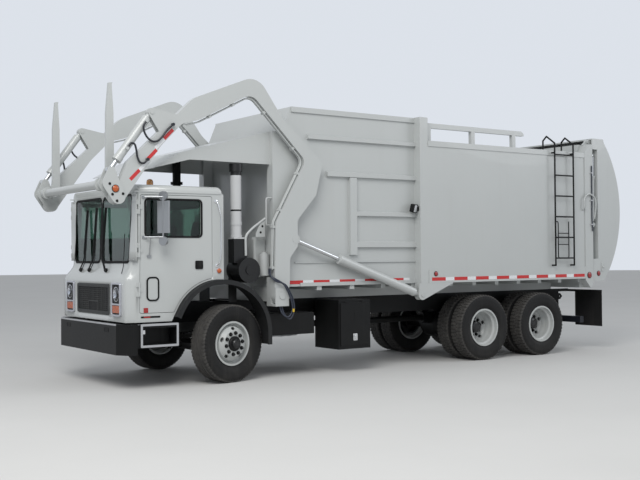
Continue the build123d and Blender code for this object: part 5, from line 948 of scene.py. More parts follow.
# Places of a lug's ends along the tread, as parts of a lug's pitch
LUG_PARTS = (0.0, 0.6, 0.66, 0.94)


def side_curve(half):
    """Bulged side wall as (half width, radius) points from bead to shoulder."""
    start, bulge, end = (BEAD, 0.303), (half, 0.395), (half - SHOULDER_STEP, SHOULDER)
    points = []
    for step in range(WALL_STEPS + 1):
        t = step / WALL_STEPS
        x, radius = (
            a * (1 - t) * (1 - 2 * t) + 4 * t * (1 - t) * b + t * (2 * t - 1) * c
            for a, b, c in zip(start, bulge, end)
        )
        rib = RIB if step in (2, 7) else 0.0
        points.append((min(x, half - 0.003) + rib, radius))
    return points


def tyre(centre, turn, half, lugs, depth, drive):
    """Tyre with a blocked tread, from rings of points round its axle."""
    top, low = TYRE_RADIUS, TYRE_RADIUS - depth
    # Half width, radius on a lug and radius in the groove behind it
    tread = [(half - SHOULDER_STEP, SHOULDER, SHOULDER - depth * 0.6), (half - 0.031, top - 0.001, low)]
    if drive:
        tread += [(0.058, top, low), (0.052, low, low), (0.044, low, low), (0.038, top, low + 0.003)]
        tread += [(0.01, top, low + 0.003), (0.005, low, low)]
    else:
        tread += [(0.088, top, top - 0.003), (0.083, low, low), (0.073, low, low), (0.068, top, top)]
        tread += [(0.03, top, top), (0.025, low, low), (0.013, low, low), (0.008, top, top)]
    wall = [(x, r, r) for x, r in [(BEAD, 0.288)] + side_curve(half)[:-1]]
    # The rows of lugs on the two halves are half a pitch apart
    profile = [(-x, high, deep, 0) for x, high, deep in wall]
    profile += [(-x, high, deep, 2) for x, high, deep in tread]
    profile += [(x, high, deep, 0) for x, high, deep in reversed(wall + tread)]
    spin = Matrix.Rotation(turn, 4, "Z")
    rings = []
    for column in range(lugs * 4):
        ring = []
        for x, high, deep, shift in profile:
            pitch, step = divmod(column + shift, 4)
            angle = 2 * PI * (pitch + LUG_PARTS[step] - (0.5 if shift else 0.0)) / lugs
            radius = high if step < 2 else deep
            point = Vector((x, radius * math.cos(angle), radius * math.sin(angle)))
            ring.append(Vector(centre) + spin @ point)
        rings.append(ring)
    points, faces, _ = joined(rings, closed=True)
    count = len(profile)
    tread_rows = range(len(wall), count - len(wall))
    return points, faces, [int(i % count in tread_rows and j % count in tread_rows) for i, j, *_ in faces]


class TRUCK_OT_tyres(PartMaker):
    """Make tyres with cut treads in place of the plain ones"""

    bl_idname = "truck.tyres"
    bl_label = "Tyres"

    def execute(self, context):
        sizes = context.scene.truck_sizes
        for name, side, front, node, body in wheels():
            centre = middle(node)
            if front:
                shapes = [tyre(centre, STEER, FRONT_HALF, FRONT_LUGS, sizes.tread * 0.7, False)]
            else:
                places = [Vector((side * across, centre.y, centre.z)) for across in DUAL_TYRES]
                given = 0.0, DUAL_HALF, sizes.lugs, sizes.tread, True
                shapes = [tyre(place, *given) for place in places]
            piece = fit(f"{name}_treads", ("side wall", "tread"), *shapes, body=body)
            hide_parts(node)
        return {"FINISHED"}


def wheel_axes(centre, turn, side, out, y=0.0, z=0.0):
    """Axes that look out from a wheel, at a place on its face."""
    return frame_axes(centre + turn @ Vector((side * out, y, z)), turn @ Vector((0, side, 0)), (0, 0, 1))


class TRUCK_OT_wheel_nuts(PartMaker):
    """Fit lug nuts, hub rings and hub bolts to the wheels"""

    bl_idname = "truck.wheel_nuts"
    bl_label = "Wheel nuts"

    def execute(self, context):
        for name, side, front, node, body in wheels():
            centre = middle(node)
            if not front:
                centre.x = side * sum(DUAL_TYRES) / 2
            turn = Matrix.Rotation(STEER if front else 0.0, 4, "Z")
            face, hub, hub_circle = (0.15, 0.062, 0.04) if front else (0.014, 0.104, 0.046)
            shapes = []
            for y, z in circle(NUT_CIRCLE, 10, 0.25):
                shapes += bolt(wheel_axes(centre, turn, side, face, y, z), 0.02, 0.03)
            axes = wheel_axes(centre, turn, side, face + hub)
            if front:
                ring = [(0.06, -0.07), (0.102, -0.07), (0.1, -0.046), (0.086, -0.034), (0.06, -0.032)]
                shapes.append(lathe(axes, ring, 40))
            for x, y in circle(hub_circle, 8):
                shapes += bolt(moved(axes, x, y, -0.002), 0.006, 0.007)
            fit(f"{name}_nuts", "black", *shapes, body=body)
        return {"FINISHED"}


# Cab front: where the cab starts to draw in, its sloping cowl, and the panes on the glass
WARP_START = -1.29
WARP_LENGTH = 0.137
COWL_FOOT = 1.375
COWL_RISE = 0.225
SIDE_WALL = 1.12
PANE_INNER, PANE_OUTER = 0.022, 1.035
PANE_FOOT, PANE_HEIGHT = 0.06, 0.86


def cab_warp(point):
    """Draws the cab's upper front in behind a sloping cowl and rounds its corners."""
    back = point.y - AXLE_Y
    ahead = min(max((WARP_START - back) / WARP_LENGTH, 0.0), 1.0) if abs(point.x) < SIDE_WALL else 0.0
    rise = min(max((point.z - COWL_FOOT) / COWL_RISE, 0.0), 1.0)
    rise = rise * rise * (3 - 2 * rise)
    setback = 0.11 * rise * ahead
    narrow = (0.045 + 0.06 * rise) * ahead ** 1.5 * min(abs(point.x) / 1.0, 1.0) ** 3
    return Vector((point.x * (1 - narrow), point.y + setback, point.z))


def glass_point(x, up, out):
    """Point on the set back windscreen."""
    return cab_warp(on_screen(x, up, out))


class TRUCK_OT_cab_front(PartMaker):
    """Make the cab's skin, roof, panes and dashboard with the set back windscreen"""

    bl_idname = "truck.cab_front"
    bl_label = "Cab front"

    def execute(self, context):
        cuts = [((0, 0, z), (0, 0, 1)) for z in (COWL_FOOT, 1.42, 1.465, 1.51, 1.555, 1.6)]
        cuts += [(at(0, back, 0), (0, 1, 0)) for back in (WARP_START, -1.32, -1.35, -1.385, -1.42)]
        cuts += [((s * x, 0, 0), (1, 0, 0)) for s in (-1, 1) for x in (0.5, 0.75, 0.9, 1.0, 1.06)]
        slots = {"cab_glass": "tinted_glass", "dashboard": "black_plastic"}
        for node in ("cab_shell", "cab_roof", "cab_glass", "dashboard"):
            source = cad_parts[node]
            mesh = bmesh.new()
            mesh.from_mesh(source.data)
            bmesh.ops.remove_doubles(mesh, verts=mesh.verts, dist=1e-5)
            angle = math.radians(0.5)
            bmesh.ops.dissolve_limit(mesh, angle_limit=angle, verts=mesh.verts, edges=mesh.edges)
            for place, normal in cuts:
                everything = mesh.verts[:] + mesh.edges[:] + mesh.faces[:]
                bmesh.ops.bisect_plane(mesh, geom=everything, plane_co=place, plane_no=normal, dist=1e-5)
            for vert in mesh.verts:
                vert.co = cab_warp(vert.co)
            bmesh.ops.triangulate(mesh, faces=[f for f in mesh.faces if len(f.verts) > 4])
            paint = source.material_slots[0].material
            piece = from_bmesh(f"{node}_skin", mesh, "truck", slots.get(node, "white_paint"), [paint])
            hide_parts(node)
        return {"FINISHED"}


class TRUCK_OT_windscreen(PartMaker):
    """Fit the rubber gaskets round the windscreen panes and the rear window"""

    bl_idname = "truck.windscreen"
    bl_label = "Windscreen gaskets"

    def execute(self, context):
        width = context.scene.truck_sizes.gasket
        wide, tall = PANE_OUTER - PANE_INNER, PANE_HEIGHT
        outer = rounded(wide + width, tall + width, 0.09, 8)
        inner = rounded(wide - 0.024, tall - 0.024, 0.058, 8)
        up = PANE_FOOT + tall / 2
        for name, side in SIDES:
            centre = side * (PANE_INNER + PANE_OUTER) / 2
            rings = [
                [glass_point(centre + x, up + y, out) for x, y in outline]
                for outline, out in ((outer, -0.004), (outer, 0.006), (inner, 0.011), (inner, -0.012))
            ]
            fit(f"{name}_screen_gasket", "rubber", joined(rings, closed=True), bevel=0.002)
        axes = frame_axes(at(0, -0.058, 2.165), (-1, 0, 0), (0, 0, 1))
        rear = border(axes, rounded(1.17, 0.48, 0.05), rounded(1.09, 0.4, 0.04), -0.006, 0.004)
        fit("rear_window_gasket", "rubber", rear, bevel=0.002)
        return {"FINISHED"}


class TRUCK_OT_wipers(PartMaker):
    """Fit three parked wipers with elbowed arms, and the washer's arm"""

    bl_idname = "truck.wipers"
    bl_label = "Wipers"

    def execute(self, context):
        blade = context.scene.truck_sizes.blade
        spindle = [(0, 0), (0.03, 0), (0.028, 0.02), (0.018, 0.036), (0, 0.04)]
        section = [Vector(corner) for corner in ((-0.013, 0, 0), (0.013, 0, 0))]
        section += [Vector(corner) for corner in ((0.0052, -0.032, 0), (-0.0052, -0.032, 0))]
        rows = (("far", -0.6, -0.5, 0.02, 0.16), ("middle", -0.28, -0.16, 0.01, 0.18))
        rows += (("near", 0.3, 0.14, 0.03, 0.17),)
        for name, pivot, foot, lean, low in rows:
            axes = frame_axes(glass_point(pivot, -0.055, 0.0), (1, 0, 0), (0, 0.4, 1))
            shapes = [lathe(axes, spindle, 20)]
            ends = [glass_point(foot + lean * t, low + blade * t, 0.03) for t in (0.0, 0.5, 1.0)]
            for pair in zip(ends, ends[1:]):
                rings = [[end + corner for corner in section] for end in pair]
                shapes.append(joined(rings, capped=True))
            fit(f"{name}_wiper_blade", "rubber", *shapes, bevel=0.002)
            path = [glass_point(pivot, -0.055, 0.03), glass_point(foot, low * 0.55, 0.045)]
            path += [glass_point(foot + lean * 0.5, low + blade * 0.5, 0.052)]
            tube(f"{name}_wiper_arm", path, 0.01, "plastic", 0.05)
            beside = [p + Vector((0.045, 0, -0.02)) for p in path]
            tube(f"{name}_wiper_link", beside, 0.006, "plastic", 0.05)
        places = ((0.92, -0.09, 0.012), (0.9, 0.0, 0.03), (0.86, 0.42, 0.03))
        tube("washer_arm", [glass_point(*place) for place in places], 0.005, "plastic", 0.04)
        return {"FINISHED"}


# Head lamps: their middle across, and how far above it the round lamp, bar and turn lens are
LAMP_ACROSS = 0.7975
ROUND_UP, BAR_UP, TURN_UP = 0.068, -0.062, -0.126


class TRUCK_OT_headlights(PartMaker):
    """Make headlights with bezel, round lamp and amber lens in place of the plain ones"""

    bl_idname = "truck.headlights"
    bl_label = "Headlights"

    def execute(self, context):
        level = middle("headlights").z
        bowl = [(0.0, 0.0045), (0.03, 0.005), (0.06, 0.0075), (0.086, 0.015), (0.092, 0.017)]
        rim = [(0.092, 0.017), (0.094, 0.019), (0.09, 0.02), (0.086, 0.015)]
        glass = [(0.089, 0.018), (0.07, 0.022), (0.045, 0.0245), (0.02, 0.0255), (0, 0.0258)]
        glass += [(0, 0.0228), (0.045, 0.0215), (0.07, 0.019), (0.088, 0.0155), (0.089, 0.018)]
        for name, side in SIDES:
            axes = front_axes(at(side * LAMP_ACROSS, CAB_FRONT, level))
            upper = moved(axes, 0, ROUND_UP)
            bezel = fit(
                f"{name}_lamp_bezel", ("bezel", "plastic"),
                border(axes, rounded(0.283, 0.433, 0.028), rounded(0.232, 0.385, 0.02), 0.0, 0.024),
                slab(moved(axes, 0, BAR_UP), rounded(0.24, 0.022, 0.004, 2), 0.0, 0.022),
                slab(axes, rounded(0.236, 0.389, 0.018), -0.002, 0.004, 1),
                border(upper, rounded(0.222, 0.226, 0.024), rounded(0.19, 0.19, 0.09), 0.003, 0.016, 1),
                bevel=0.003,
            )
            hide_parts("headlights")
            lamp = moved(upper, side * 0.01, 0)
            fit(f"{name}_lamp_bowl", "silver", lathe(lamp, bowl, 40), lathe(lamp, rim, 40), smooth=60)
            fit(f"{name}_lamp_glass", "clear", lathe(lamp, glass, 40), smooth=60)
            lens_block = slab(moved(axes, 0, TURN_UP), rounded(0.222, 0.096, 0.012), 0.003, 0.019)
            fit(f"{name}_turn_lens", "amber", lens_block, bevel=0.005)
        return {"FINISHED"}


class TRUCK_OT_grille(PartMaker):
    """Fit the grille's frame, fine mesh and crank opening, whose dark fill is painted shade"""

    bl_idname = "truck.grille"
    bl_label = "Grille"

    def execute(self, context):
        axes = front_axes(at(0, CAB_FRONT, 1.14))
        hole = moved(axes, 0.02, -0.1)
        # The rubber slab in the crank opening is painted shade: its dark stands for the shaded inside of the
        # opening.
        fit(
            "grille_frame", ("grille", "rubber"),
            border(axes, rounded(1.118, 0.398, 0.03), rounded(1.06, 0.34, 0.015), -0.002, 0.008),
            border(hole, rounded(0.34, 0.15, 0.012), rounded(0.31, 0.12, 0.006), -0.004, 0.006),
            slab(hole, rounded(0.32, 0.13, 0.006), -0.006, 0.001, 1),
            bevel=0.002,
        )
        # Width of the mesh's wires and the distance between them
        wire, pitch = 0.006, 0.027
        uprights = [moved(axes, -0.513 + number * pitch, 0) for number in range(39)]
        bars = [moved(axes, 0, -0.162 + number * pitch) for number in range(13)]
        wires = [slab(place, oblong(wire, 0.336), -0.022, -0.006) for place in uprights]
        wires += [slab(place, oblong(1.056, wire), -0.02, -0.004) for place in bars]
        fit("grille_mesh", "grille", *wires)
        return {"FINISHED"}


# Cab sides: the vane's inner edge, bend and tail across, and its tail behind the front axle
VANE_INNER, VANE_BEND, VANE_TAIL = 1.052, 1.112, 1.1335
VANE_END = -1.318


class TRUCK_OT_door_parts(PartMaker):
    """Fit latches, low door panels, window gaskets and red reflectors to the doors"""

    bl_idname = "truck.door_parts"
    bl_label = "Door parts"

    def execute(self, context):
        for name, side in SIDES:
            door, body = f"{name}_door", f"{name}_cab_door"
            axes = side_axes(at(side_skin(door, -1.1, 1.28, side).x, -1.098, 1.282), side)
            fit(
                f"{name}_low_panel", ("rubber", "cab white"),
                border(axes, rounded(0.178, 0.312, 0.06), rounded(0.136, 0.27, 0.04), -0.002, 0.01),
                slab(axes, rounded(0.142, 0.276, 0.042), -0.002, 0.004, 1),
                bevel=0.003, body=body, slot="white_paint",
            )
            window = side_axes(at(side * 1.115, -0.795, 2.1925), side)
            outer, inner = rounded(0.836, 0.511, 0.062), rounded(0.784, 0.459, 0.038)
            gasket = border(window, outer, inner, -0.004, 0.008)
            fit(f"{name}_window_gasket", "rubber", gasket, bevel=0.003, body=body)
            latch = wall_axes(door, -0.432, 1.5825, side)
            lock = [(0, 0.003), (0.009, 0.003), (0.009, 0.008), (0, 0.008)]
            fit(
                f"{name}_latch", "rubber",
                slab(latch, rounded(0.112, 0.112, 0.016), -0.01, 0.003),
                slab(moved(latch, 0, 0.006), rounded(0.084, 0.062, 0.012), 0.0, 0.01),
                lathe(moved(latch, 0.03, -0.04), lock, 16),
                bevel=0.002, body=body,
            )
            sill = wall_axes("cab_shell", -1.13, 0.925, side)
            fit(
                f"{name}_sill_strip", ("rubber", "red"),
                slab(sill, rounded(0.27, 0.024, 0.008), -0.002, 0.003),
                slab(moved(sill, -side * 0.05, 0), rounded(0.09, 0.018, 0.004), 0.003, 0.006, 1),
                bevel=0.001,
            )
            reflector = wall_axes(door, -1.196, 1.012, side)
            square = slab(reflector, rounded(0.062, 0.062, 0.004, 2), -0.001, 0.004)
            fit(f"{name}_door_reflector", "red", square, bevel=0.001, body=body)
        return {"FINISHED"}


class TRUCK_OT_cab_sides(PartMaker):
    """Fit grab handles, corner vanes, marker lamps and the roof's lamps"""

    bl_idname = "truck.cab_sides"
    bl_label = "Cab sides"

    def execute(self, context):
        foot = [(0, -0.002), (0.026, -0.002), (0.026, 0.004), (0.014, 0.01), (0, 0.01)]
        marker = [(0.033, 0.006), (0.031, 0.016), (0.022, 0.023), (0.009, 0.026), (0, 0.0265)]
        dome = [(0.046, 0.018), (0.045, 0.075), (0.036, 0.098), (0.018, 0.108), (0, 0.11)]
        for name, side in SIDES:
            wall = side_skin("cab_shell", -0.16, 2.0, side).x
            handle = ((-0.004, -0.175, 2.425), (0.04, -0.172, 2.405), (0.044, -0.123, 2.226))
            handle += ((0.044, -0.125, 1.715), (0.04, -0.15, 1.6), (-0.004, -0.168, 1.57))
            path = [at(wall + side * out, back, z) for out, back, z in handle]
            tube(f"{name}_grab_handle", path, 0.0095, "chrome", 0.05)
            places = [at(wall, back, z) for _, back, z in (handle[0], handle[-1])]
            feet = [lathe(side_axes(place, side), foot, 20) for place in places]
            fit(f"{name}_handle_feet", "chrome", *feet)
            axes = side_axes(at(wall, -0.133, 1.5), side)
            base = slab(axes, rounded(0.086, 0.066, 0.03), -0.002, 0.006, 1)
            fit(f"{name}_side_marker", ("amber", "bezel"), base, lathe(axes, marker, 28))
            self.vane(name, side)
            axes = top_axes(touch("cab_roof", at(side * 0.62, -0.9, 3.2), (0, 0, -1)))
            base = slab(axes, rounded(0.125, 0.11, 0.04), -0.006, 0.018, 1)
            fit(f"{name}_roof_lamp", ("beacon", "plastic"), base, lathe(axes, dome, 32), bevel=0.003)
        return {"FINISHED"}

    @staticmethod
    def vane(name, side):
        """Bent sheet that turns air round the cab's corner, with its bolts."""

        def on_vane(t, up):
            """Point on the sheet, from its inner edge to its tail."""
            inner = glass_point(side * VANE_INNER, up, 0.016)
            corner = glass_point(side * VANE_BEND, up, 0.026) + Vector((side * 0.012, 0, 0))
            return bend_point(inner, corner, at(side * VANE_TAIL, VANE_END, inner.z), t)

        levels, steps = (0.075, 0.2, 0.4, 0.6, 0.8, 0.925), (0.0, 0.15, 0.35, 0.6, 0.85, 1.0)
        points = [on_vane(t, up) for up in levels for t in steps]
        row = len(steps)
        starts = [k for k in range(row * (len(levels) - 1)) if k % row < row - 1]
        faces = [(k, k + 1, k + row + 1, k + row) for k in starts]
        piece = fit(f"{name}_corner_vane", "cab white", (points, faces, [0] * len(faces)), smooth=60)
        sheet = piece.modifiers.new("Sheet", "SOLIDIFY")
        sheet.thickness = 0.003
        sheet.offset = 0
        bolts = []
        for t, up in ((0.3, 0.088), (0.7, 0.088), (0.3, 0.912), (0.7, 0.912)):
            right = Vector((0, 0, 1)).cross(Vector((side * t, -(1 - t * 0.6), 0)))
            bolts += bolt(frame_axes(on_vane(t, up), right, (0, 0, 1)), 0.007, 0.008)
        fit(f"{name}_vane_bolts", "zinc", *bolts)


# Tape and lamps
RAIL_HEIGHT = 1.318
FILM_LOW, FILM_HIGH = -0.0005, 0.0012


class TRUCK_OT_tape(PartMaker):
    """Lay striped reflective tape along the body's lower rails and the arms"""

    bl_idname = "truck.tape"
    bl_label = "Reflective tape"

    def execute(self, context):
        width = context.scene.truck_sizes.tape
        both = striped_tape()
        start, end = Vector((-1.43, 2.64)), Vector((-0.8, 3.27))
        step = (end - start) / 5
        for name, side in SIDES:
            strips = self.run("storage_body", side, 3.52, 7.02, width)
            strips += self.run("hopper_body", side, 0.96, 3.2, width)
            fit(f"{name}_rail_tape", both, *strips, smooth=0, slot="white_paint")
            right = Vector((0, step.x, step.y)).normalized() * side
            up = Vector((side, 0, 0)).cross(right)
            strips = []
            for index in range(5):
                spot = start + step * (index + 0.5)
                while first_hit("lift_arms", at(side * OUTSIDE, *spot), (-side, 0, 0)) is None:
                    spot += Vector((-0.003, 0.003))
                    if spot.y > 3.7:
                        raise RuntimeError("no arm beside the tape")
                skin = side_skin("lift_arms", spot.x - 0.022, spot.y + 0.022, side)
                outline = rounded(step.length, 0.045, 0.001, 1)
                strips.append(slab(frame_axes(skin, right, up), outline, FILM_LOW, FILM_HIGH, index % 2))
            fit(f"{name}_arm_tape", both, *strips, smooth=0, body="lift_arms", slot="white_paint")
        return {"FINISHED"}

    @staticmethod
    def run(node, side, start, end, width):
        """Strips of the two colours in turn, along a rail."""
        strips, back, index = [], start, 0
        while back < end - 0.05:
            size = min(0.28 if index == 0 else 0.18, end - back)
            axes = wall_axes(node, back + size / 2, RAIL_HEIGHT, side)
            outline = rounded(size - 0.0008, width, 0.001, 1)
            strips.append(slab(axes, outline, FILM_LOW, FILM_HIGH, index))
            back += size
            index = 1 - index
        return strips


class TRUCK_OT_body_lamps(PartMaker):
    """Fit side, tail and work lamps and the fork heads' reflectors and bolts"""

    bl_idname = "truck.body_lamps"
    bl_label = "Body lamps"

    def execute(self, context):
        spots = (
            ("tail_lamp", "rear_frame", "truck", 7.14, RAIL_HEIGHT, 0.048, "red"),
            ("gate_lamp", "tailgate", "tailgate", 7.4, 1.345, 0.04, "red"),
            ("side_marker_red", "storage_body", "truck", 3.6, 1.4, 0.034, "red"),
            ("fork_reflector", "fork_frame", "fork_frame", -1.661, 2.541, 0.042, "amber"),
        )
        for name, side in SIDES:
            for label, node, body, back, z, radius, kind in spots:
                axes = wall_axes(node, back, z, side)
                ring = [(0, -0.001), (radius * 1.16, -0.001), (radius * 1.16, 0.006), (radius, 0.008)]
                dome = [(radius, 0.008), (radius * 0.86, 0.0125), (radius * 0.5, 0.016), (0, 0.0175)]
                shapes = lathe(axes, ring, 32, 1), lathe(axes, dome, 32)
                fit(f"{name}_{label}", (kind, "rubber"), *shapes, smooth=50, body=body)
            bolts = []
            for back, z in ((-1.7, 2.47), (-1.56, 2.48), (-1.64, 2.39), (-1.735, 2.6)):
                place = first_hit("fork_frame", at(side * OUTSIDE, back, z), (-side, 0, 0))
                if place is not None:
                    bolts += bolt(side_axes(place, side), 0.013, 0.012)
            fit(f"{name}_fork_bolts", "black", *bolts, body="fork_frame")
            face = touch("mid_frame", at(side * 1.175, 2.6, 2.4), (0, 1, 0))
            head = Matrix.Translation(face + Vector((side * 0.012, -0.095, 0)))
            head = head @ Vector((side, 0.35, -0.25)).to_track_quat("Z", "Y").to_matrix().to_4x4()
            fit(
                f"{name}_work_lamp", ("plastic", "silver"),
                slab(front_axes(face), rounded(0.03, 0.07, 0.008), -0.004, 0.075),
                slab(head, rounded(0.105, 0.125, 0.02), -0.045, 0.022),
                border(head, rounded(0.112, 0.132, 0.022), rounded(0.088, 0.108, 0.014), 0.014, 0.03),
                slab(head, rounded(0.09, 0.11, 0.014), 0.02, 0.025, 1),
                smooth=40,
            )
        return {"FINISHED"}


# Cushions: faces along a side, how far edges and corners draw in, and the sewn lines
SEAT_ACROSS = 0.7
CUSHION_CELLS = 28
EDGE_PULL = 0.035
CORNER_PULL = 0.1
SIDE_SEAM = 0.66
SEAM_DEPTH = 0.16


def seam_depth(distance, width):
    """Depth of a sewn line at a distance from it, from 0 to 1."""
    return math.exp(-(distance / width) ** 2)


def cushion(name, axes, wide, deep, thick, channels):
    """Crowned cushion with pulled-in sides and sewn channels."""
    row = CUSHION_CELLS + 1
    top, bottom = [], []
    for j in range(row):
        for i in range(row):
            u, v = -1 + 2 * i / CUSHION_CELLS, -1 + 2 * j / CUSHION_CELLS
            x = u * wide / 2 * (1 - EDGE_PULL * (1 - v ** 2) * u ** 6)
            y = v * deep / 2 * (1 - EDGE_PULL * (1 - u ** 2) * v ** 6)
            x *= 1 - CORNER_PULL * max(0, abs(v) - 0.8)
            y *= 1 - CORNER_PULL * max(0, abs(u) - 0.8)
            crown = (1 - u ** 4) ** 0.5 * (1 - v ** 4) ** 0.5
            seam = max(seam_depth(v - place, 0.045) for place in channels) * (abs(u) < SIDE_SEAM + 0.02)
            dip = max(seam, seam_depth(abs(u) - SIDE_SEAM, 0.035)) * SEAM_DEPTH
            top.append(axes @ Vector((x, y, thick * (0.42 + 0.58 * crown * (1 - dip)))))
            bottom.append(axes @ Vector((x * 0.985, y * 0.985, 0)))
    under = len(top)
    faces, last = [], CUSHION_CELLS * row
    for j in range(CUSHION_CELLS):
        for k in range(j * row, j * row + CUSHION_CELLS):
            faces.append((k, k + 1, k + row + 1, k + row))
            faces.append((under + k, under + k + row, under + k + row + 1, under + k + 1))
        edges = ((j, j + 1), (last + j, last + j + 1))
        edges += ((j * row, j * row + row), (j * row + row - 1, j * row + 2 * row - 1))
        faces += [(a, b, under + b, under + a) for a, b in edges]
    piece = fit(name, "cloth", (top + bottom, faces, [0] * len(faces)), smooth=60)
    soft = piece.modifiers.new("Soft skin", "SUBSURF")
    soft.levels = 1
    soft.render_levels = 1
    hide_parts("cab_seats")


class TRUCK_OT_seats(PartMaker):
    """Make the two cab seats as cushions on pedestals"""

    bl_idname = "truck.seats"
    bl_label = "Cushions"

    def execute(self, context):
        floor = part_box("cab_seats")[0][2]
        for name, side in SIDES:
            x = side * SEAT_ACROSS
            base = frame_axes(at(x, -0.375, 1.552), (1, 0, 0), (0, 1, 0.055))
            cushion(f"{name}_seat_cushion", base, 0.45, 0.43, 0.105, (-0.35, 0.1, 0.5))
            back = frame_axes(at(x, -0.172, 1.905), (1, 0, 0), (0, 0.13, 0.99))
            cushion(f"{name}_seat_back", back, 0.44, 0.56, 0.095, (-0.5, -0.1, 0.3))
            axes = top_axes(at(x, -0.36, floor))
            post = slab(axes, rounded(0.34, 0.3, 0.04), 0.0, 0.1)
            plate = slab(axes, rounded(0.4, 0.38, 0.05), 0.1, 0.112)
            pedestal = fit(f"{name}_seat_pedestal", "plastic", post, plate, bevel=0.006)
            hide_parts("cab_seats")
        return {"FINISHED"}


# Steps, pipes and hoses
GRIP_ROWS, GRIP_COLUMNS = 5, 16
BUMPER_TOP = 0.8302


class TRUCK_OT_steps(PartMaker):
    """Frame the cab steps and trim the bumper"""

    bl_idname = "truck.steps"
    bl_label = "Steps and bumper"

    def execute(self, context):
        grip = [(0.0095, -0.001), (0.0085, 0.0035), (0.0055, 0.0035), (0.005, -0.001)]
        for name, side in SIDES:
            rim = side_axes(at(side * 1.16, -1.0225, 0.691), side)
            recess = side_axes(at(side_skin("front_bumper", -1.05, 0.683, side).x, -1.01, 0.688), side)
            outer, inner = rounded(0.532, 0.3, 0.012, 2), rounded(0.474, 0.242, 0.006, 2)
            fit(
                f"{name}_step_frame", ("zinc", "plastic"),
                border(rim, outer, inner, -0.001, 0.005),
                slab(recess, rounded(0.42, 0.24, 0.004, 2), -0.002, 0.003, 1),
                bevel=0.003,
            )
            lamp = slab(moved(recess, -side * 0.155, 0.035), rounded(0.055, 0.055, 0.01), 0.002, 0.014)
            fit(f"{name}_step_lamp", "silver", lamp, bevel=0.002)
            cells = []
            for row in range(GRIP_ROWS):
                for step in range(GRIP_COLUMNS):
                    spot = at(side * (1.01 + row * 0.026), -1.33 + step * 0.034, BUMPER_TOP)
                    cells.append(lathe(top_axes(spot), grip, 10))
            fit(f"{name}_step_grip", "zinc", *cells)
        axes = front_axes(at(0, -1.54, 0.834))
        lip = slab(moved(axes, 0, -0.001), oblong(1.94, 0.022), -0.004, 0.003)
        fit("bumper_lip", "zinc", lip, bevel=0.003)
        # The rubber fill in each slot is painted shade: its dark stands for the shaded inside of the slot.
        slots = []
        for x in (-0.66, 0.66):
            hole = moved(axes, x, -0.075)
            outer, inner = rounded(0.15, 0.062, 0.022), rounded(0.13, 0.044, 0.016)
            slots.append(border(hole, outer, inner, -0.002, 0.003))
            slots.append(slab(hole, rounded(0.132, 0.046, 0.016), -0.002, 0.0008))
        fit("bumper_slots", "rubber", *slots, bevel=0.001)
        return {"FINISHED"}


def path_at(*places):
    """Path through places given as across, behind the front axle and up."""
    return [at(*place) for place in places]


class TRUCK_OT_frame_pipes(PartMaker):
    """Fit the column's grab bars and the folding step at the rear"""

    bl_idname = "truck.frame_pipes"
    bl_label = "Bars and folding step"

    def execute(self, context):
        for name, side in SIDES:
            x = side * 1.045
            bar = path_at((x, 0.745, 2.5), (x, 0.655, 2.5), (x, 0.655, 2.12), (x, 0.745, 2.12))
            tube(f"{name}_column_grab_bar", bar, 0.011, "white", 0.03)
        x, front, rear = 1.288, 6.3, 6.56
        step = path_at((1.2, 6.315, 2.24), (x, front, 2.24), (x, front, 1.62))
        step += path_at((x, rear, 1.62), (x, rear, 2.24))
        tube("folding_step", step, 0.009, "black", 0.04)
        for number, z in enumerate((1.85, 2.04)):
            tube(f"folding_rung_{number}", path_at((x, front, z), (x, rear, z)), 0.008, "black")
        return {"FINISHED"}


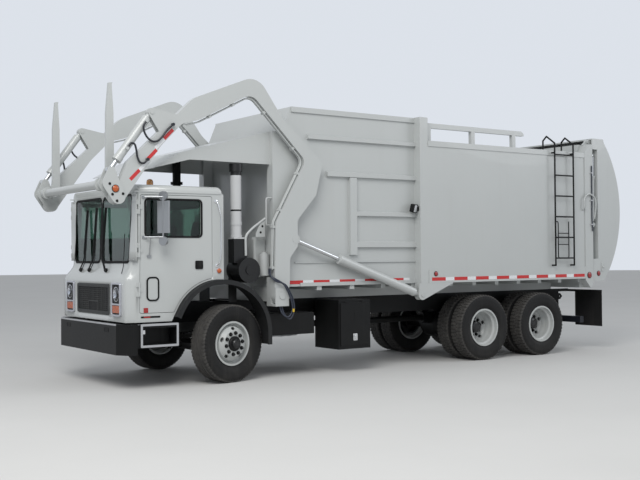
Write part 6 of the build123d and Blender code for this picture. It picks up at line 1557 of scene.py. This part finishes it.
class TRUCK_OT_hoses(PartMaker):
    """Fit the pivot hoses, the tailgate's pipes and latches, and the bay's and the roof's pipes"""

    bl_idname = "truck.hoses"
    bl_label = "Hoses and pipes"

    def execute(self, context):
        for name, side in SIDES:
            self.pivot_hoses(name, side)
            self.gate_parts(name, side)
        x = 1.02
        path = path_at((x, 0.34, 1.7), (x, 0.336, 1.975), (x, 0.45, 2.08), (x, 0.655, 2.215))
        tube("bay_pipe", path, 0.017, "white pipe", 0.06)
        plate = side_axes(at(x, 0.5, 1.955), 1)
        outline = [(0, 0), (0.145, 0), (0.145, 0.25), (0.105, 0.25), (0, 0.05)]
        # The rubber discs on the plate are painted shade: their dark stands for the shaded insides of its two
        # holes.
        hole = [(0.017, 0.004), (0.017, 0.0078), (0, 0.0078)]
        shapes = [slab(plate, outline, -0.007, 0.007)]
        shapes += [lathe(moved(plate, *spot), hole, 24, 1) for spot in ((0.075, 0.065), (0.105, 0.15))]
        fit("tank_gusset", ("white", "rubber"), *shapes, bevel=0.001)
        roof = touch("storage_body", at(0, 5.4, 5.0), (0, 0, -1)).z + 0.034
        path = path_at((0, 4.6, roof - 0.05), (0, 4.66, roof), (0, 6.2, roof), (0, 6.26, roof - 0.05))
        tube("roof_pipe", path, 0.021, "white pipe", 0.05)
        return {"FINISHED"}

    @staticmethod
    def pivot_hoses(name, side):
        """Two hoses that hang from an arm's pivot to the column, with a yellow tag."""
        for number, (x, drop, shift) in enumerate(((1.164, 0.0, 0.0), (1.196, 0.035, 0.03))):
            rows = ((x, 0.6235, 1.52), (x, 0.618, 1.43), (1.262, 0.655, 1.38 - drop))
            rows += ((1.284, 0.79 + shift, 1.31), (1.288, 0.905 + shift, 1.1))
            rows += ((1.288, 0.93 + shift, 0.94), (1.276, 0.86 + shift, 0.83 - drop))
            rows += ((1.225, 0.78 + shift, 0.9), (1.2, 0.765 + shift, 1.02))
            path = [at(side * across, back, z) for across, back, z in rows]
            bent_hose(f"{name}_pivot_hose_{number}", path, ("lift_arms", "truck"))
        axes = side_axes(at(side * 1.3005, 0.93, 0.94), side)
        tag = slab(axes, rounded(0.03, 0.046, 0.006), -0.001, 0.003)
        fit(f"{name}_hose_tag", "yellow", tag, bevel=0.001)

    @staticmethod
    def gate_parts(name, side):
        """Hooked pipe, hose and clamps on the rear post, and the tailgate's latch."""
        out = side * 1.262
        hook = path_at((side * 1.2, 6.99, 2.44), (out, 6.99, 2.47), (out, 7.000, 2.68))
        hook += path_at((out, 7.14, 2.745), (out, 7.29, 2.66), (out, 7.3, 2.52))
        hook += path_at((side * 1.235, 7.29, 2.3))
        tube(f"{name}_gate_pipe", hook, 0.014, "cab white", 0.07)
        x = side * 1.247
        down = path_at((x, 7.215, 3.225), (x, 7.212, 2.3), (side * 1.252, 7.225, 2.08))
        tube(f"{name}_gate_hose", down, 0.01, "hose", 0.05)
        places = [side_axes(at(side * 1.235, 7.205, z), side) for z in (3.1, 2.62, 2.2)]
        clamps = [slab(place, rounded(0.05, 0.022, 0.006), -0.002, 0.026) for place in places]
        fit(f"{name}_gate_clamps", "zinc", *clamps, bevel=0.002)
        axes = wall_axes("tailgate", 7.5, 1.46, side)
        plate = slab(axes, rounded(0.06, 0.15, 0.012), -0.002, 0.014)
        knob = lathe(axes, [(0.02, 0.012), (0.02, 0.034), (0.012, 0.038), (0, 0.038)])
        fit(f"{name}_gate_latch", "white", plate, knob, bevel=0.003, body="tailgate")


# Fuel tank: its middle across and up, and the strap's radii and half width
TANK_ACROSS, TANK_UP = -0.755, 0.7
STRAP_INNER, STRAP_OUTER = 0.3005, 0.3045
STRAP_HALF = 0.022
STRAP_STEPS = 40


class TRUCK_OT_tool_latches(PartMaker):
    """Fit lid, hinges and latch to the tool boxes and straps to the fuel tank"""

    bl_idname = "truck.tool_latches"
    bl_label = "Tool boxes"

    def execute(self, context):
        axes = side_axes(at(side_skin("tool_boxes", 2.05, 0.7).x, 2.055, 0.7), 1)
        lid = [slab(axes, rounded(0.52, 0.62, 0.03), -0.002, 0.01)]
        for x in (-0.15, 0.15):
            lid.append(slab(moved(axes, x, 0.318, 0.004), rounded(0.07, 0.03, 0.006), 0.0, 0.01))
        fit("tool_box_lid", "black", *lid, bevel=0.004)
        plate = moved(axes, 0, -0.19, 0.01)
        latch = slab(plate, rounded(0.075, 0.1, 0.012), 0.0, 0.004)
        paddle = slab(plate, rounded(0.03, 0.06, 0.01), 0.004, 0.014)
        fit("tool_box_latch", "chrome", latch, paddle, bevel=0.002)
        low, high = -STRAP_HALF, STRAP_HALF
        section = ((STRAP_INNER, low), (STRAP_OUTER, low), (STRAP_OUTER, high), (STRAP_INNER, high))
        straps = []
        for back in (1.15, 1.65, 2.15):
            rings = []
            for step in range(STRAP_STEPS + 1):
                angle = 2 * PI * step / STRAP_STEPS
                x, z = math.cos(angle), math.sin(angle)
                rings.append([at(TANK_ACROSS + r * x, back + shift, TANK_UP + r * z) for r, shift in section])
            straps.append(joined(rings))
        fit("tank_straps", "zinc", *straps, bevel=0.001)
        return {"FINISHED"}


# Panel, properties and running
MAKERS = (
    TRUCK_OT_stage,
    TRUCK_OT_finishes,
    TRUCK_OT_tyres,
    TRUCK_OT_wheel_nuts,
    TRUCK_OT_cab_front,
    TRUCK_OT_windscreen,
    TRUCK_OT_wipers,
    TRUCK_OT_headlights,
    TRUCK_OT_grille,
    TRUCK_OT_door_parts,
    TRUCK_OT_cab_sides,
    TRUCK_OT_tape,
    TRUCK_OT_body_lamps,
    TRUCK_OT_seats,
    TRUCK_OT_steps,
    TRUCK_OT_frame_pipes,
    TRUCK_OT_hoses,
    TRUCK_OT_tool_latches,
)


class VIEW3D_PT_truck(bpy.types.Panel):
    """Lists the truck's makers and settings"""

    bl_label = "Refuse truck"
    bl_space_type = "VIEW_3D"
    bl_region_type = "UI"
    bl_category = "Refuse truck"

    def draw(self, context):
        layout = self.layout
        for group in (context.scene.truck_sizes, context.scene.truck_colours, context.scene.truck_stage):
            box = layout.box()
            for name in group.__annotations__:
                box.prop(group, name)
        for maker in MAKERS:
            layout.operator(maker.bl_idname)


GROUP_TYPES = (TruckColours, TruckSizes, TruckStage)


def register():
    """Registers the settings, the makers and the panel."""
    for kind in GROUP_TYPES + MAKERS + (VIEW3D_PT_truck,):
        bpy.utils.register_class(kind)
    bpy.types.Scene.truck_colours = PointerProperty(type=TruckColours)
    bpy.types.Scene.truck_sizes = PointerProperty(type=TruckSizes)
    bpy.types.Scene.truck_stage = PointerProperty(type=TruckStage)


def unregister():
    """Removes what register added."""
    for name in ("truck_stage", "truck_sizes", "truck_colours"):
        delattr(bpy.types.Scene, name)
    for kind in reversed(GROUP_TYPES + MAKERS + (VIEW3D_PT_truck,)):
        bpy.utils.unregister_class(kind)


def main():
    """Makes everything in order."""
    register()
    for maker in MAKERS:
        getattr(bpy.ops.truck, maker.bl_idname.split(".")[1])()


if __name__ == "__main__":
    main()
